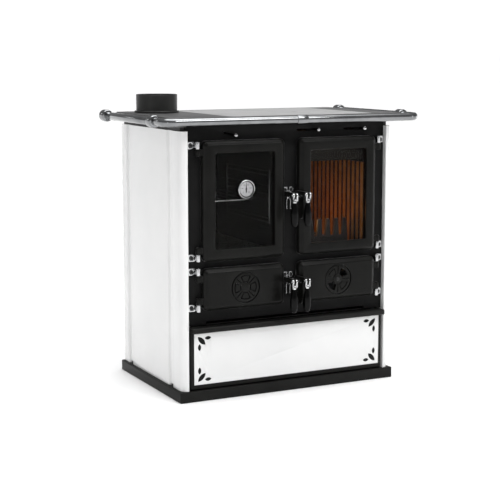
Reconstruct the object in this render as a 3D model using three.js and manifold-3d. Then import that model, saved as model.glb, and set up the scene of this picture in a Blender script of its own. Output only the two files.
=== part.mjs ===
// A wood-burning cookstove: a steel carcass on a plinth, enamelled side panels, a cast front with
// an oven door, a fire door, a soot door and an ash door, a wood drawer, a cast hob with a ground
// steel plate and lift-out ring, a flue collar and a tubular hand rail.
// Millimetres. +Z is up, the front faces -Y, the origin is the middle of the plinth's underside.

import * as THREE from 'three';
import { mergeVertices } from 'three/addons/utils/BufferGeometryUtils.js';
import Module from 'manifold-3d';

// ---------------------------------------------------------------- driving dimensions

const seat = 0.3; // gap between pieces that rest against one another
const sheet = 2; // folded steel sheet

// Plinth and body
const plinthSideReach = 10; // how far the plinth stands out beyond the body
const plinthEndReach = 7;
const plinthHeight = 33;
const plinthCorner = 5;
const plinthChamfer = 2.5;
const bodyHalfWidth = 366;
const bodyHalfDepth = 240;
const bodyCorner = 22; // front corner radius of the side panels
const panelReturn = 23; // how far the side panel's front edge folds back
const panelRearFlange = 20;
const panelTopGap = 27; // from the side panel's top to the hob
const channelDepth = 5;
const channelWidth = 34;
const channelFlank = 4; // width of a channel's sloping side
const frontChannelSetback = 90.6; // body front to the front channel's middle
const rearChannelSetback = 57.5;
const channelNotch = 7; // height of the notch at the foot of a channel
const carcassFlange = 23.7;
const rearStepDepth = 48; // where the walls are lowered behind the hob
const rearStepDrop = 10;
const louvrePitch = 66;
const louvreWidth = 6;
const louvreHeight = 60;
const louvreMargin = 55;

// Heights of the front, from the plinth up
const drawerBottomGap = 4;
const drawerFrontHeight = 175;
const drawerBarHeight = 16.7;
const plateBottomGap = 2;
const lowerDoorMargin = 47.4;
const lowerDoorHeight = 128;
const doorGap = 20.6;
const upperDoorHeight = 363;
const plateTopMargin = 55.7;
const hobSlab = 14;

// Front plate and doors
const plateSetback = 17;
const plateThickness = 8;
const airNotchMargin = 64.7; // front plate's side to the air notch
const airNotchHeight = 10;
const doorSideMargin = 44.5;
const pillarHalfWidth = 25.3;
const doorProjection = 18; // door face ahead of the side panels' front
const doorPlateGap = 4;
const doorWall = 8;
const doorSkin = 8;
const lowerDoorSkin = 12;
const doorCorner = 16;
const doorBevelWidth = 12;
const doorBevelDepth = 10;
const mouthInset = 27; // door outline to mouth
const mouthCorner = 8;
const rimWidth = 6;
const windowInset = 37; // door outline to window
const windowCorner = 8;
const windowChamfer = 4;
const glassLap = 7;
const glassThickness = 5;
const ropeWidth = 10;
const ropeThickness = 11.4;

// Hinges
const hingeOffset = 13.8; // door side to hinge axis
const hingeStandoff = 19; // front plate to hinge axis
const hingeArm = 4.7; // hinge axis to the bracket's flange
const pintleRadius = 3.95;
const pintleClearance = 0.1;
const lugRadius = 7.5;
const lugHeight = 20;
const barrelRadius = 6.5;
const bracketHeight = 22;
const bracketFlange = 22;
const bracketThickness = 4.7;
const upperBracketInset = 2;
const lowerBracketInset = -2.5;
const boltRadius = 5;
const boltHeight = 3.5;

// Latches
const latchDrop = 169; // upper door top to latch pivot
const lowerLatchDrop = 50.4; // lower door top to latch pivot
const latchReach = 68.6; // body front to latch pivot
const latchPlate = 6.3; // thickness of the latch bracket
const latchPlateSunk = 0.3; // how far the bracket is let into the door's side
const latchArmHalf = 8; // half height of the bracket's arm, and radius of its eye
const latchPinRadius = 3.5;
const latchPinClearance = 0.1;
const latchSideGap = 0.5;
const earThickness = 5;
const earHalf = 6;
const bridgeTop = 9.5; // below the pivot
const bridgeHeight = 7.5;
const ferruleLength = 5.7;
const ferruleRadius = 7.2;
const spindleRadius = 3;
const gripLength = 73.5;
const gripRadius = 13;
const tongueThickness = 3.5;
const gussetHeight = 78;
const gussetReach = 44; // body front to the gusset's front edge
const gussetCorner = 20;

// Keepers, from the latch pivot's height
const keeperEarInner = 3.5;
const keeperEarOuter = 17;
const keeperEarFoot = 1;
const keeperEarTop = 19;
const keeperEarProud = 4;
const keeperNeckHalf = 4.5;
const keeperNeckFoot = -16;
const keeperNeckTop = 9;
const keeperNeckProud = 2.5;
const stapleCrown = -23; // height of the staple's arch centre
const stapleFoot = -50;
const stapleOuter = 9;
const stapleInner = 4;
const stapleProud = 8;

// Rosettes
const rosetteRadius = 48;
const rosetteDepth = 6;
const sectorInner = 16;
const sectorOuter = 36;
const sectorHalfAngle = 0.46;
const registerClearance = 1.5;
const registerThickness = 4.5;
const registerScrewRadius = 3;

// Thermometer
const thermometerDrop = 147; // door top to thermometer centre
const thermometerRadius = 28.5;
const thermometerDepth = 16;
const dialRadius = 24.3;
const thermometerStem = 3;
const needleLength = 21;
const needleTail = 11;
const needleHub = 3;

// Air and smoke controls
const slotHalfHeight = 3.5;
const knobRadius = 7;
const knobStandoff = 15; // front plate to ball centre
const knobStemRadius = 2.5;
const slideTravel = 60;
const bypassTravel = 28;
const slideDrop = 33; // hob underside to slide centre line
const rightAirMargin = 79.7; // front plate's side to the right knob
const airKnobPitch = 166;
const bypassMargin = 157.7;
const slidePlateHalf = 30;
const slidePlateHalfHeight = 9;
const bypassDrop = 42.5;
const bypassSlope = 0.25;

// Hob
const hobSideOverhang = 30;
const hobFrontOverhang = 18;
const hobRearSetback = 22;
const hobCorner = 14;
const hobChamfer = 2;
const skirtWidth = 12;
const skirtDrop = 8;
const hobPlateLeftMargin = 196; // hob's left edge to the plate
const hobPlateRightMargin = 96;
const hobPlateFrontMargin = 18;
const hobPlateRearMargin = 22;
const hobPlateDepth = 8;
const hobPlateCorner = 24;
const hobLedge = 32;
const ringSideMargin = 135; // hob plate's right edge to the ring's middle
const ringFrontMargin = 220;
const ringRadius = 118;
const discRadius = 75;
const ringStep = 8;
const ringGap = 0.4;
const lidSlotNear = 22; // lid's middle to its lifting slot
const lidSlotFar = 46;
const lidSlotHalf = 7;
const lidSlotDepth = 4.5;
const flueSideMargin = 94; // hob's left edge to the flue's middle
const flueRearMargin = 123;
const flueBore = 61;
const flueWall = 4;
const flueHeight = 58;
const flueFlange = 9.5;
const flueFlangeHeight = 6;
const flueSpigot = 12;

// Hand rail
const railRadius = 12.5;
const railFrontReach = 32; // hob edge to the rail's axis
const railSideReach = 36;
const railBend = 40;
const railDrop = 11.3; // hob top to rail axis
const railFrontFittingSetback = 72; // hob front to the fitting's middle
const railRearFittingSetback = 12;
const fittingRadius = 19;
const fittingLength = 34;
const fittingStub = 9;
const sleeveLeft = -7;
const sleeveLength = 35;
const sleeveWall = 1.8;

// Oven and fire
const liningWall = 3;
const cavityMargin = 6; // mouth edge to cavity wall
const ovenRearGap = 50; // body rear to the oven's inside
const fireboxRearGap = 80;
const fireFloorDrop = 15; // firebox floor below the mouth's lower edge
const fireboxHeadroom = 23;
const wireRadius = 2.5;
const rackSetback = 46; // body front to the rack's front wire
const rackLength = 302;
const rackFootHeight = 77; // oven floor to the rack's foot
const rackHeight = 164;
const rungRises = [2.5, 15, 72, 90, 116, 148, 161.5]; // rungs above the rack's foot
const shelfRung = 2;
const shelfWireRadius = 1.8;
const shelfPitch = 38;
const shelfCount = 6;
const linerThickness = 12;
const linerRib = 7;
const linerPitch = 30;
const linerCount = 9;
const linerHeadGap = 7.7; // liner's top to the flame deflector
const linerBackThickness = 20;
const linerRearGap = 40; // firebox's inside rear to the liner's ribbed walls
const grateThickness = 10;
const grateSetback = 82; // body front to the grate
const grateRearGap = 24; // grate to the liner's back
const grateSideGap = 28.1; // grate to the firebox wall
const grateRim = 20; // grate's ends to its slots
const floorLedge = 12; // how far the firebox floor reaches under the grate
const grateSlot = 9;
const grateSlotMargin = 19; // grate's side to its outer slot's middle
const grateSlotCount = 7;
const guardThickness = 8;
const guardFoot = 30;
const guardTooth = 54;
const guardToothWidth = 13;
const guardToothMargin = 10.5; // guard's side to its outer tooth's middle
const guardToothCount = 6;
const deflectorHeight = 50;
const deflectorThickness = 5;
const deflectorSetback = 4;
const deflectorRoofGap = 4;
const ashPanSideGap = 16.1; // ash pan to the chamber's side
const ashPanFrontGap = 10;
const ashPanRearGap = 99.7;
const ashPanHeight = 56;

// Wood drawer
const drawerSideGap = 29; // body side to the drawer front
const drawerFrontProud = 4; // body front to the drawer front's face, set back
const drawerFrontDepth = 16;
const drawerFrontSkin = 3;
const drawerFrontLip = 24; // rim left round the drawer front's open back
const drawerFrontLipSide = 27;
const enamelSide = 10.5; // drawer front edge to enamelled panel
const enamelFoot = 13.5;
const enamelHead = 3.5;
const barProud = 18;
const barRear = 16.5;
const barSkin = 4;
const drawerBoxSideGap = 26.7; // carcass wall to the drawer box
const drawerBoxRearGap = 40;
const drawerBoxBottomGap = 6.3;
const drawerBoxTopGap = 14;
const runnerShelf = 36;
const runnerHeight = 34;
const leafLong = 36;
const leafShort = 21;
const leafWidth = 13;
const leafNarrow = 8.5;
const leafPlaces = { corner: [24.7, 22.1], along: [46, 14.7], up: [17.6, 42.7] }; // from the corner

// ---------------------------------------------------------------- derived places

const frontY = -bodyHalfDepth;
const rearY = bodyHalfDepth;
const plinthHalfWidth = bodyHalfWidth + plinthSideReach;
const plinthHalfDepth = bodyHalfDepth + plinthEndReach;
const frontChannelY = frontY + frontChannelSetback;
const rearChannelY = rearY - rearChannelSetback;
const plinthTop = plinthHeight;
const drawerBottom = plinthTop + drawerBottomGap;
const drawerTop = drawerBottom + drawerFrontHeight;
const barBottom = drawerTop + seat;
const barTop = barBottom + drawerBarHeight;
const plateBottom = barTop + plateBottomGap;
const lowerDoorBottom = plateBottom + lowerDoorMargin;
const lowerDoorTop = lowerDoorBottom + lowerDoorHeight;
const upperDoorBottom = lowerDoorTop + doorGap;
const upperDoorTop = upperDoorBottom + upperDoorHeight;
const plateTop = upperDoorTop + plateTopMargin;
const hobBottom = plateTop + seat;
const hobTop = hobBottom + hobSlab;
const panelTop = hobBottom - panelTopGap;

const plateHalfWidth = bodyHalfWidth - bodyCorner - seat;
const airNotchHalfWidth = plateHalfWidth - airNotchMargin;
const rightAirX = plateHalfWidth - rightAirMargin;
const leftAirX = rightAirX - airKnobPitch;
const bypassX = bypassMargin - plateHalfWidth;
const plateFront = frontY + plateSetback;
const plateRear = plateFront + plateThickness;
const doorOuterX = bodyHalfWidth - bodyCorner - doorSideMargin;
const doorCentreX = (pillarHalfWidth + doorOuterX) / 2;
const doorFace = frontY - doorProjection;
const doorBack = plateFront - doorPlateGap;
const pocketFloor = doorFace + doorSkin;
const lowerPocketFloor = doorFace + lowerDoorSkin;
const glassFront = pocketFloor + seat;
const glassBack = glassFront + glassThickness;
const ropeBack = glassFront + ropeThickness;
const rimFront = ropeBack + seat;
const hingeX = doorOuterX + hingeOffset;
const hingeY = plateFront - hingeStandoff;
const upperLatchZ = upperDoorTop - latchDrop;
const lowerLatchZ = lowerDoorTop - lowerLatchDrop;
const mouthLeft = pillarHalfWidth + mouthInset;
const mouthRight = doorOuterX - mouthInset;
const behindPlate = plateRear + seat;

const wallOuterX = bodyHalfWidth - channelDepth - sheet - seat;
const wallInnerX = wallOuterX - sheet;
const deckHalfWidth = wallInnerX + sheet / 2;
const rearPanelRear = rearY - sheet - seat;
const rearPanelFront = rearPanelRear - sheet;
const carcassRear = rearPanelFront - seat;
const deckFront = behindPlate + sheet + seat;
const deckRear = carcassRear - sheet - seat;
const chamberDeckTop = lowerDoorBottom + 20;
const chamberFloor = chamberDeckTop + seat;
const cavityInnerX = mouthLeft - cavityMargin;
const cavityOuterX = mouthRight + cavityMargin;
const ovenFloor = upperDoorBottom + mouthInset - cavityMargin;
const ovenRoof = upperDoorTop - mouthInset + cavityMargin;
const fireFloor = upperDoorBottom + mouthInset - fireFloorDrop;
const fireboxTop = upperDoorTop - mouthInset + fireboxHeadroom;
const fireRest = fireFloor + seat;
const ovenRear = rearY - ovenRearGap;
const fireboxRear = rearY - fireboxRearGap;
const drawerHalfWidth = bodyHalfWidth - drawerSideGap;
const drawerBoxBottom = drawerBottom + drawerBoxBottomGap;
const drawerBoxHalfWidth = wallInnerX - drawerBoxSideGap;
const drawerBoxRear = rearY - drawerBoxRearGap;

// ---------------------------------------------------------------- making solids

const wasm = await Module();
wasm.setup();

const upright = new THREE.Matrix4().makeBasis(
  new THREE.Vector3(1, 0, 0), new THREE.Vector3(0, 0, 1), new THREE.Vector3(0, -1, 0),
);
const sideways = new THREE.Matrix4().makeBasis(
  new THREE.Vector3(0, 1, 0), new THREE.Vector3(0, 0, 1), new THREE.Vector3(1, 0, 0),
);

// A solid from a closed three.js geometry: shared vertices merged, triangles that a pole or a seam
// has flattened dropped, and faces turned outwards.
function solid(geometry) {
  const shell = geometry.clone();
  shell.deleteAttribute('normal');
  shell.deleteAttribute('uv');
  const merged = mergeVertices(shell, 1e-4);
  const corners = merged.attributes.position.array;
  const triangles = [];
  let volume = 0;
  const a = new THREE.Vector3();
  const b = new THREE.Vector3();
  const c = new THREE.Vector3();
  for (let i = 0; i < merged.index.count; i += 3) {
    const [p, q, r] = [0, 1, 2].map((k) => merged.index.getX(i + k));
    if (p === q || q === r || r === p) continue;
    triangles.push([p, q, r]);
    a.fromArray(corners, 3 * p);
    b.fromArray(corners, 3 * q);
    c.fromArray(corners, 3 * r);
    volume += a.dot(b.cross(c));
  }
  const facing = volume < 0 ? triangles.map(([p, q, r]) => [p, r, q]) : triangles;
  return new wasm.Manifold(new wasm.Mesh({
    numProp: 3,
    vertProperties: new Float32Array(corners),
    triVerts: new Uint32Array(facing.flat()),
  }));
}

function toGeometry(piece) {
  const mesh = piece.getMesh();
  const geometry = new THREE.BufferGeometry();
  const corners = new Float32Array(3 * mesh.numVert);
  for (let i = 0; i < mesh.numVert; i += 1) {
    corners.set(mesh.vertProperties.subarray(i * mesh.numProp, i * mesh.numProp + 3), 3 * i);
  }
  geometry.setAttribute('position', new THREE.BufferAttribute(corners, 3));
  geometry.setIndex(new THREE.BufferAttribute(new Uint32Array(mesh.triVerts), 1));
  geometry.computeVertexNormals();
  return geometry;
}

const join = (...pieces) => pieces.flat().reduce((whole, piece) => whole.add(piece));
const cut = (piece, ...cutters) => cutters.flat().reduce((left, cutter) => left.subtract(cutter), piece);

// The same piece on the other side of the centre line.
function mirrored(piece) {
  return solid(toGeometry(piece).scale(-1, 1, 1));
}

const bothSides = (piece) => join(piece, mirrored(piece));

function box(x0, x1, y0, y1, z0, z1) {
  const geometry = new THREE.BoxGeometry(x1 - x0, y1 - y0, z1 - z0);
  geometry.translate((x0 + x1) / 2, (y0 + y1) / 2, (z0 + z1) / 2);
  return solid(geometry);
}

function extruded(shape, from, to, placing, steps) {
  const geometry = new THREE.ExtrudeGeometry(shape, {
    depth: to - from, bevelEnabled: false, curveSegments: steps,
  });
  geometry.translate(0, 0, from);
  return solid(geometry.applyMatrix4(placing));
}

// Plates cut to a shape: lying flat, standing across the stove, or standing front to back.
const flatPlate = (shape, z0, z1, steps = 2) => extruded(shape, z0, z1, new THREE.Matrix4(), steps);
const frontPlate = (shape, y0, y1, steps = 2) => extruded(shape, -y1, -y0, upright, steps);
const sidePlate = (shape, x0, x1, steps = 2) => extruded(shape, x0, x1, sideways, steps);

// A plate with a chamfer round both its faces.
function chamfered(shape, from, to, width, depth, placing) {
  const geometry = new THREE.ExtrudeGeometry(shape, {
    depth: to - from - 2 * depth,
    bevelEnabled: true,
    bevelThickness: depth,
    bevelSize: width,
    bevelOffset: -width,
    bevelSegments: 1,
    curveSegments: 2,
  });
  geometry.translate(0, 0, from + depth);
  return solid(geometry.applyMatrix4(placing));
}

// A turned piece from [radius, height] points, its axis along Z or along Y.
function turned(points, sides, axis, x, y, z) {
  const profile = points.map(([radius, height]) => new THREE.Vector2(radius, height));
  const geometry = new THREE.LatheGeometry(profile, sides);
  if (axis === 'z') geometry.rotateX(Math.PI / 2);
  return solid(geometry.translate(x, y, z));
}

function rod(from, to, radius, sides) {
  const start = new THREE.Vector3(...from);
  const run = new THREE.Vector3(...to).sub(start);
  const geometry = new THREE.CylinderGeometry(radius, radius, run.length(), sides);
  const turn = new THREE.Quaternion().setFromUnitVectors(
    new THREE.Vector3(0, 1, 0), run.clone().normalize(),
  );
  geometry.applyQuaternion(turn);
  geometry.translate(...start.addScaledVector(run, 0.5).toArray());
  return solid(geometry);
}

function roundedRect(x0, x1, z0, z1, radius) {
  const shape = new THREE.Shape();
  shape.absarc(x1 - radius, z0 + radius, radius, -Math.PI / 2, 0);
  shape.absarc(x1 - radius, z1 - radius, radius, 0, Math.PI / 2);
  shape.absarc(x0 + radius, z1 - radius, radius, Math.PI / 2, Math.PI);
  shape.absarc(x0 + radius, z0 + radius, radius, Math.PI, 1.5 * Math.PI);
  return shape;
}

function roundHole(x, z, radius) {
  const shape = new THREE.Shape();
  shape.absarc(x, z, radius, 0, 2 * Math.PI);
  return shape;
}

// A straight slot with round ends from one point to another.
function slot(x0, z0, x1, z1, radius) {
  const along = Math.atan2(z1 - z0, x1 - x0);
  const shape = new THREE.Shape();
  shape.absarc(x1, z1, radius, along - Math.PI / 2, along + Math.PI / 2);
  shape.absarc(x0, z0, radius, along + Math.PI / 2, along + 1.5 * Math.PI);
  return shape;
}

// Part of a ring, centred on an angle.
function sector(x, z, inner, outer, middle, halfAngle) {
  const shape = new THREE.Shape();
  shape.absarc(x, z, outer, middle - halfAngle, middle + halfAngle);
  shape.absarc(x, z, inner, middle + halfAngle, middle - halfAngle, true);
  return shape;
}

// The section of a folded sheet: a line of [x, y] points thickened to its right-hand side.
function folded(points, thickness) {
  const line = points.map(([x, y]) => new THREE.Vector2(x, y));
  const inner = line.map((point, i) => {
    const before = line[Math.max(i - 1, 0)];
    const after = line[Math.min(i + 1, line.length - 1)];
    const arriving = point.clone().sub(before).normalize();
    const leaving = after.clone().sub(point).normalize();
    if (i === 0) arriving.copy(leaving);
    if (i === line.length - 1) leaving.copy(arriving);
    const along = arriving.clone().add(leaving).normalize();
    const right = new THREE.Vector2(along.y, -along.x);
    const edge = arriving;
    const spread = right.x * edge.y - right.y * edge.x;
    return point.clone().addScaledVector(right, thickness / spread);
  });
  return new THREE.Shape([...line, ...inner.reverse()]);
}

// A box with walls of one thickness, open at the sides that are named.
function openBox(x0, x1, y0, y1, z0, z1, wall, openTop, openFront) {
  const front = openFront ? y0 - wall : y0 + wall;
  const top = openTop ? z1 + wall : z1 - wall;
  return cut(
    box(x0, x1, y0, y1, z0, z1),
    box(x0 + wall, x1 - wall, front, y1 - wall, z0 + wall, top),
  );
}

// ---------------------------------------------------------------- plinth and body

function plinth() {
  const outline = roundedRect(
    -plinthHalfWidth, plinthHalfWidth, -plinthHalfDepth, plinthHalfDepth, plinthCorner,
  );
  return chamfered(outline, 0, plinthHeight, plinthChamfer, plinthChamfer, new THREE.Matrix4());
}

// The right-hand side panel: one sheet folded round the rear edge, pressed into two channels, rolled
// round the front corner and returned beside the front plate.
function sidePanel() {
  const x = bodyHalfWidth;
  const channel = (middle) => [
    [x, middle + channelWidth / 2],
    [x - channelDepth, middle + channelWidth / 2 - channelFlank],
    [x - channelDepth, middle - channelWidth / 2 + channelFlank],
    [x, middle - channelWidth / 2],
  ];
  const cornerSteps = 6;
  const corner = Array.from({ length: cornerSteps + 1 }, (_, i) => {
    const angle = (-i / cornerSteps) * (Math.PI / 2);
    return [
      x - bodyCorner + bodyCorner * Math.cos(angle),
      frontY + bodyCorner + bodyCorner * Math.sin(angle),
    ];
  });
  const section = folded([
    [x - panelRearFlange, rearY],
    [x, rearY],
    ...channel(rearChannelY),
    ...channel(frontChannelY),
    ...corner,
    [x - bodyCorner, frontY + panelReturn],
  ], sheet);
  const foot = plinthTop + seat;
  const notch = (middle) => {
    const half = channelWidth / 2 - channelFlank - 1;
    return box(x - 2 * channelDepth, x, middle - half, middle + half, foot - 1, foot + channelNotch);
  };
  return cut(flatPlate(section, foot, panelTop), notch(rearChannelY), notch(frontChannelY));
}

// One carcass wall: a channel section whose flanges meet the front plate and the rear panel. Its
// top is lowered behind the hob, under the rear panel's top flange, and an angle welded inside
// carries the drawer box.
function carcassWall() {
  const outer = wallInnerX + sheet / 2;
  const shelfTop = drawerBoxBottom - seat;
  const runner = join(
    box(outer - runnerShelf, outer, deckFront, deckRear, shelfTop - sheet, shelfTop),
    box(outer - sheet, outer, deckFront, deckRear, shelfTop - sheet, shelfTop + runnerHeight),
  );
  const section = folded([
    [wallOuterX - carcassFlange, carcassRear],
    [wallOuterX, carcassRear],
    [wallOuterX, behindPlate],
    [wallOuterX - carcassFlange, behindPlate],
  ], sheet);
  const step = hobBottom - seat - rearStepDrop;
  return cut(
    join(flatPlate(section, plinthTop + seat, plateTop), runner),
    box(0, bodyHalfWidth, rearY - rearStepDepth - 2, rearY, step, hobTop),
  );
}

// The welded carcass: two walls and three decks, for the floor, the drawer's roof and the chambers.
function carcass() {
  const deck = (top) => box(-deckHalfWidth, deckHalfWidth, deckFront, deckRear, top - sheet, top);
  const decks = [plinthTop + seat + sheet, plateBottom, chamberDeckTop].map(deck);
  return join(bothSides(carcassWall()), decks);
}

// The rear panel with two rows of air slots, folded forward over the carcass behind the hob.
function rearPanel() {
  const half = bodyHalfWidth - panelRearFlange + 6;
  const top = hobBottom - rearStepDrop + sheet;
  const section = folded([
    [rearPanelRear, plinthTop + seat],
    [rearPanelRear, top],
    [rearY - rearStepDepth, top],
  ].map(([y, z]) => [-y, z]), sheet);
  const sheetMetal = sidePlate(section, -half, half);
  const turnedRound = solid(toGeometry(sheetMetal).rotateZ(Math.PI));
  const slots = [];
  const columns = Math.floor(half / louvrePitch);
  for (let i = -columns + 1; i < columns; i += 1) {
    for (const z of [plinthTop + louvreMargin, panelTop - louvreMargin - louvreHeight]) {
      const opening = slot(i * louvrePitch, z, i * louvrePitch, z + louvreHeight, louvreWidth / 2);
      slots.push(frontPlate(opening, rearPanelFront - 1, rearPanelRear + 1, 1));
    }
  }
  return cut(turnedRound, join(slots));
}

// ---------------------------------------------------------------- front plate

const upperMouth = (grow) => roundedRect(
  mouthLeft - grow, mouthRight + grow,
  upperDoorBottom + mouthInset - grow, upperDoorTop - mouthInset + grow, mouthCorner + grow,
);
const lowerMouth = (grow) => roundedRect(
  mouthLeft - grow, mouthRight + grow,
  lowerDoorBottom + mouthInset - grow, lowerDoorTop - mouthInset + grow, mouthCorner + grow,
);

// Where a control's stem passes the plate, from rest to the end of its travel.
const slideZ = hobBottom - slideDrop;
const bypassZ = hobBottom - bypassDrop;
const slopeLength = Math.hypot(1, bypassSlope);
const controls = {
  bypass: {
    x: bypassX, z: bypassZ, travel: bypassTravel, across: -1 / slopeLength, up: bypassSlope / slopeLength,
  },
  leftAir: { x: leftAirX, z: slideZ, travel: slideTravel, across: -1, up: 0 },
  rightAir: { x: rightAirX, z: slideZ, travel: slideTravel, across: -1, up: 0 },
};

function controlSlot({ x, z, travel, across, up }) {
  const spare = knobStemRadius + 1;
  return slot(
    x - across * spare, z - up * spare,
    x + across * (travel + spare), z + up * (travel + spare), slotHalfHeight,
  );
}

// A keeper on the pillar between the doors: two ears for its bolts and a ridge bent like a staple.
function keeper(z) {
  const rear = plateFront + 1;
  const ear = box(
    keeperEarInner, keeperEarOuter, plateFront - keeperEarProud, rear,
    z + keeperEarFoot, z + keeperEarTop,
  );
  const staple = new THREE.Shape();
  staple.moveTo(stapleOuter, z + stapleFoot);
  staple.absarc(0, z + stapleCrown, stapleOuter, 0, Math.PI);
  staple.lineTo(-stapleOuter, z + stapleFoot);
  staple.lineTo(-stapleInner, z + stapleFoot);
  staple.absarc(0, z + stapleCrown, stapleInner, Math.PI, 0, true);
  staple.lineTo(stapleInner, z + stapleFoot);
  return join(
    bothSides(ear),
    box(
      -keeperNeckHalf, keeperNeckHalf, plateFront - keeperNeckProud, rear,
      z + keeperNeckFoot, z + keeperNeckTop,
    ),
    frontPlate(staple, plateFront - stapleProud, rear, 3),
  );
}

// The cast front: four mouths, each with a sealing rim that the door closes on, three control slots,
// an air notch along the bottom edge, and the two keepers of the latches.
function castFront() {
  const outline = new THREE.Shape([
    new THREE.Vector2(-plateHalfWidth, plateBottom),
    new THREE.Vector2(plateHalfWidth, plateBottom),
    new THREE.Vector2(plateHalfWidth, plateTop),
    new THREE.Vector2(-plateHalfWidth, plateTop),
  ]);
  const blank = frontPlate(outline, plateFront, plateRear);
  const rims = join(
    frontPlate(upperMouth(rimWidth), rimFront, plateFront + 1),
    frontPlate(lowerMouth(rimWidth), lowerPocketFloor + seat, plateFront + 1),
  );
  const mouths = join(
    frontPlate(upperMouth(0), doorFace, plateRear + 1),
    frontPlate(lowerMouth(0), doorFace, plateRear + 1),
  );
  const slots = Object.values(controls).map(
    (control) => frontPlate(controlSlot(control), plateFront - 1, plateRear + 1),
  );
  const notch = box(
    -airNotchHalfWidth, airNotchHalfWidth, plateFront - 1, plateRear + 1,
    plateBottom - 1, plateBottom + airNotchHeight,
  );
  const keepers = [keeper(upperLatchZ), keeper(lowerLatchZ)];
  return cut(join(blank, bothSides(rims), keepers), bothSides(mouths), slots, notch);
}

// A control: a ball on a stem, with a slide plate behind the front plate.
function control({ x, z, up }) {
  const plateHalfHeight = slidePlateHalfHeight + 3 * up;
  const ballY = plateFront - knobStandoff;
  const neck = knobRadius - 1;
  const ball = new THREE.SphereGeometry(knobRadius, 10, 6).rotateX(Math.PI / 2).translate(x, ballY, z);
  return join(
    solid(ball),
    rod([x, ballY + neck - 2, z], [x, behindPlate + 1, z], knobStemRadius, 8),
    box(
      x - slidePlateHalf, x + slidePlateHalf, behindPlate, behindPlate + sheet,
      z - plateHalfHeight, z + plateHalfHeight,
    ),
  );
}

// ---------------------------------------------------------------- doors

const pinSides = 16;

// Where the pintles and lugs of a door lie, from its two ends.
function hingeHeights(bottom, top, inset) {
  const upperBracket = top - inset - bracketHeight;
  const lowerBracket = bottom + inset;
  return {
    upperBracket,
    lowerBracket,
    upperLug: upperBracket - seat - lugHeight,
    lowerLug: lowerBracket + bracketHeight + seat,
  };
}
const upperHinge = hingeHeights(upperDoorBottom, upperDoorTop, upperBracketInset);
const lowerHinge = hingeHeights(lowerDoorBottom, lowerDoorTop, lowerBracketInset);

// A right-hand door casting: a bevelled face, a hollow back that closes over the mouth's rim, and
// two lugs bored for the pintles.
function doorCasting(bottom, top, floor, hinge) {
  const outline = roundedRect(pillarHalfWidth, doorOuterX, bottom, top, doorCorner);
  const blank = chamfered(
    outline, -doorBack - doorBevelDepth, -doorFace, doorBevelWidth, doorBevelDepth, upright,
  );
  const rearTrim = box(0, bodyHalfWidth, doorBack, 0, bottom - 1, top + 1);
  const pocket = roundedRect(
    pillarHalfWidth + doorWall, doorOuterX - doorWall, bottom + doorWall, top - doorWall,
    doorCorner - doorWall,
  );
  const shell = cut(blank, rearTrim, frontPlate(pocket, floor, doorBack + 1));
  const lugs = [hinge.upperLug, hinge.lowerLug].map((z) => join(
    rod([hingeX, hingeY, z], [hingeX, hingeY, z + lugHeight], lugRadius, 12),
    box(doorOuterX - 2, hingeX, hingeY - 4, hingeY + 4, z, z + lugHeight),
  ));
  const boreRadius = pintleRadius + pintleClearance;
  const bores = [hinge.upperLug, hinge.lowerLug].map(
    (z) => rod([hingeX, hingeY, z - 1], [hingeX, hingeY, z + lugHeight + 1], boreRadius, pinSides),
  );
  return cut(join(shell, lugs), bores);
}

const latchPivotY = frontY - latchReach;
const latchPlateOuter = pillarHalfWidth + latchPlateSunk;
const latchPlateInner = latchPlateOuter - latchPlate;
const innerEarX = latchPlateInner - latchSideGap - earThickness;
const outerEarX = latchPlateOuter + latchSideGap;
const latchMiddleX = (innerEarX + outerEarX + earThickness) / 2;
const bridgeBottom = bridgeTop + bridgeHeight;
const ferruleEnd = bridgeBottom + ferruleLength;

// The latch bracket on the side of a right-hand door, with the lever's pin across its eye. Where it
// has a gusset, that lies against the door below the arm.
function latchBracket(z, hasGusset) {
  const root = doorBack - 3;
  const arm = new THREE.Shape();
  arm.moveTo(root, z - latchArmHalf);
  arm.absarc(latchPivotY, z, latchArmHalf, -Math.PI / 2, Math.PI / 2, true);
  arm.lineTo(root, z + latchArmHalf);
  const pieces = [
    sidePlate(arm, latchPlateInner, latchPlateOuter, 3),
    rod(
      [innerEarX - 1.5, latchPivotY, z], [outerEarX + earThickness + 1.5, latchPivotY, z],
      latchPinRadius, pinSides,
    ),
  ];
  if (hasGusset) {
    const gusset = roundedRect(frontY - gussetReach, root, z - gussetHeight, z, gussetCorner);
    pieces.push(sidePlate(gusset, latchPlateInner, latchPlateOuter, 3));
  }
  return join(pieces);
}

const windowLeft = pillarHalfWidth + windowInset;
const windowRight = doorOuterX - windowInset;
const windowBottom = upperDoorBottom + windowInset;
const windowTop = upperDoorTop - windowInset;
const windowOutline = (grow) => roundedRect(
  windowLeft - grow, windowRight + grow, windowBottom - grow, windowTop + grow, windowCorner + grow,
);

function glazedDoor(latchGusset) {
  const casting = doorCasting(upperDoorBottom, upperDoorTop, pocketFloor, upperHinge);
  const opening = frontPlate(windowOutline(0), doorFace - 1, pocketFloor + 1);
  const flare = chamfered(
    windowOutline(windowChamfer), -doorFace - windowChamfer, -doorFace + 3 * windowChamfer,
    windowChamfer, windowChamfer, upright,
  );
  return join(cut(casting, opening, flare), latchBracket(upperLatchZ, latchGusset));
}

const doorGlass = () => frontPlate(windowOutline(glassLap), glassFront, glassBack);

// The rope that seals the door lies round the glass, against the mouth's rim.
function doorRope() {
  const outer = windowOutline(glassLap + 1 + ropeWidth);
  outer.holes.push(windowOutline(glassLap + 1));
  return frontPlate(outer, glassFront, ropeBack);
}

const rosetteSteps = 10;
const rosetteZ = (lowerDoorBottom + lowerDoorTop) / 2;
const recessFloor = doorFace + rosetteDepth;

function rosetteRecess(x) {
  return frontPlate(roundHole(x, rosetteZ, rosetteRadius), doorFace - 1, recessFloor, rosetteSteps);
}

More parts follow.
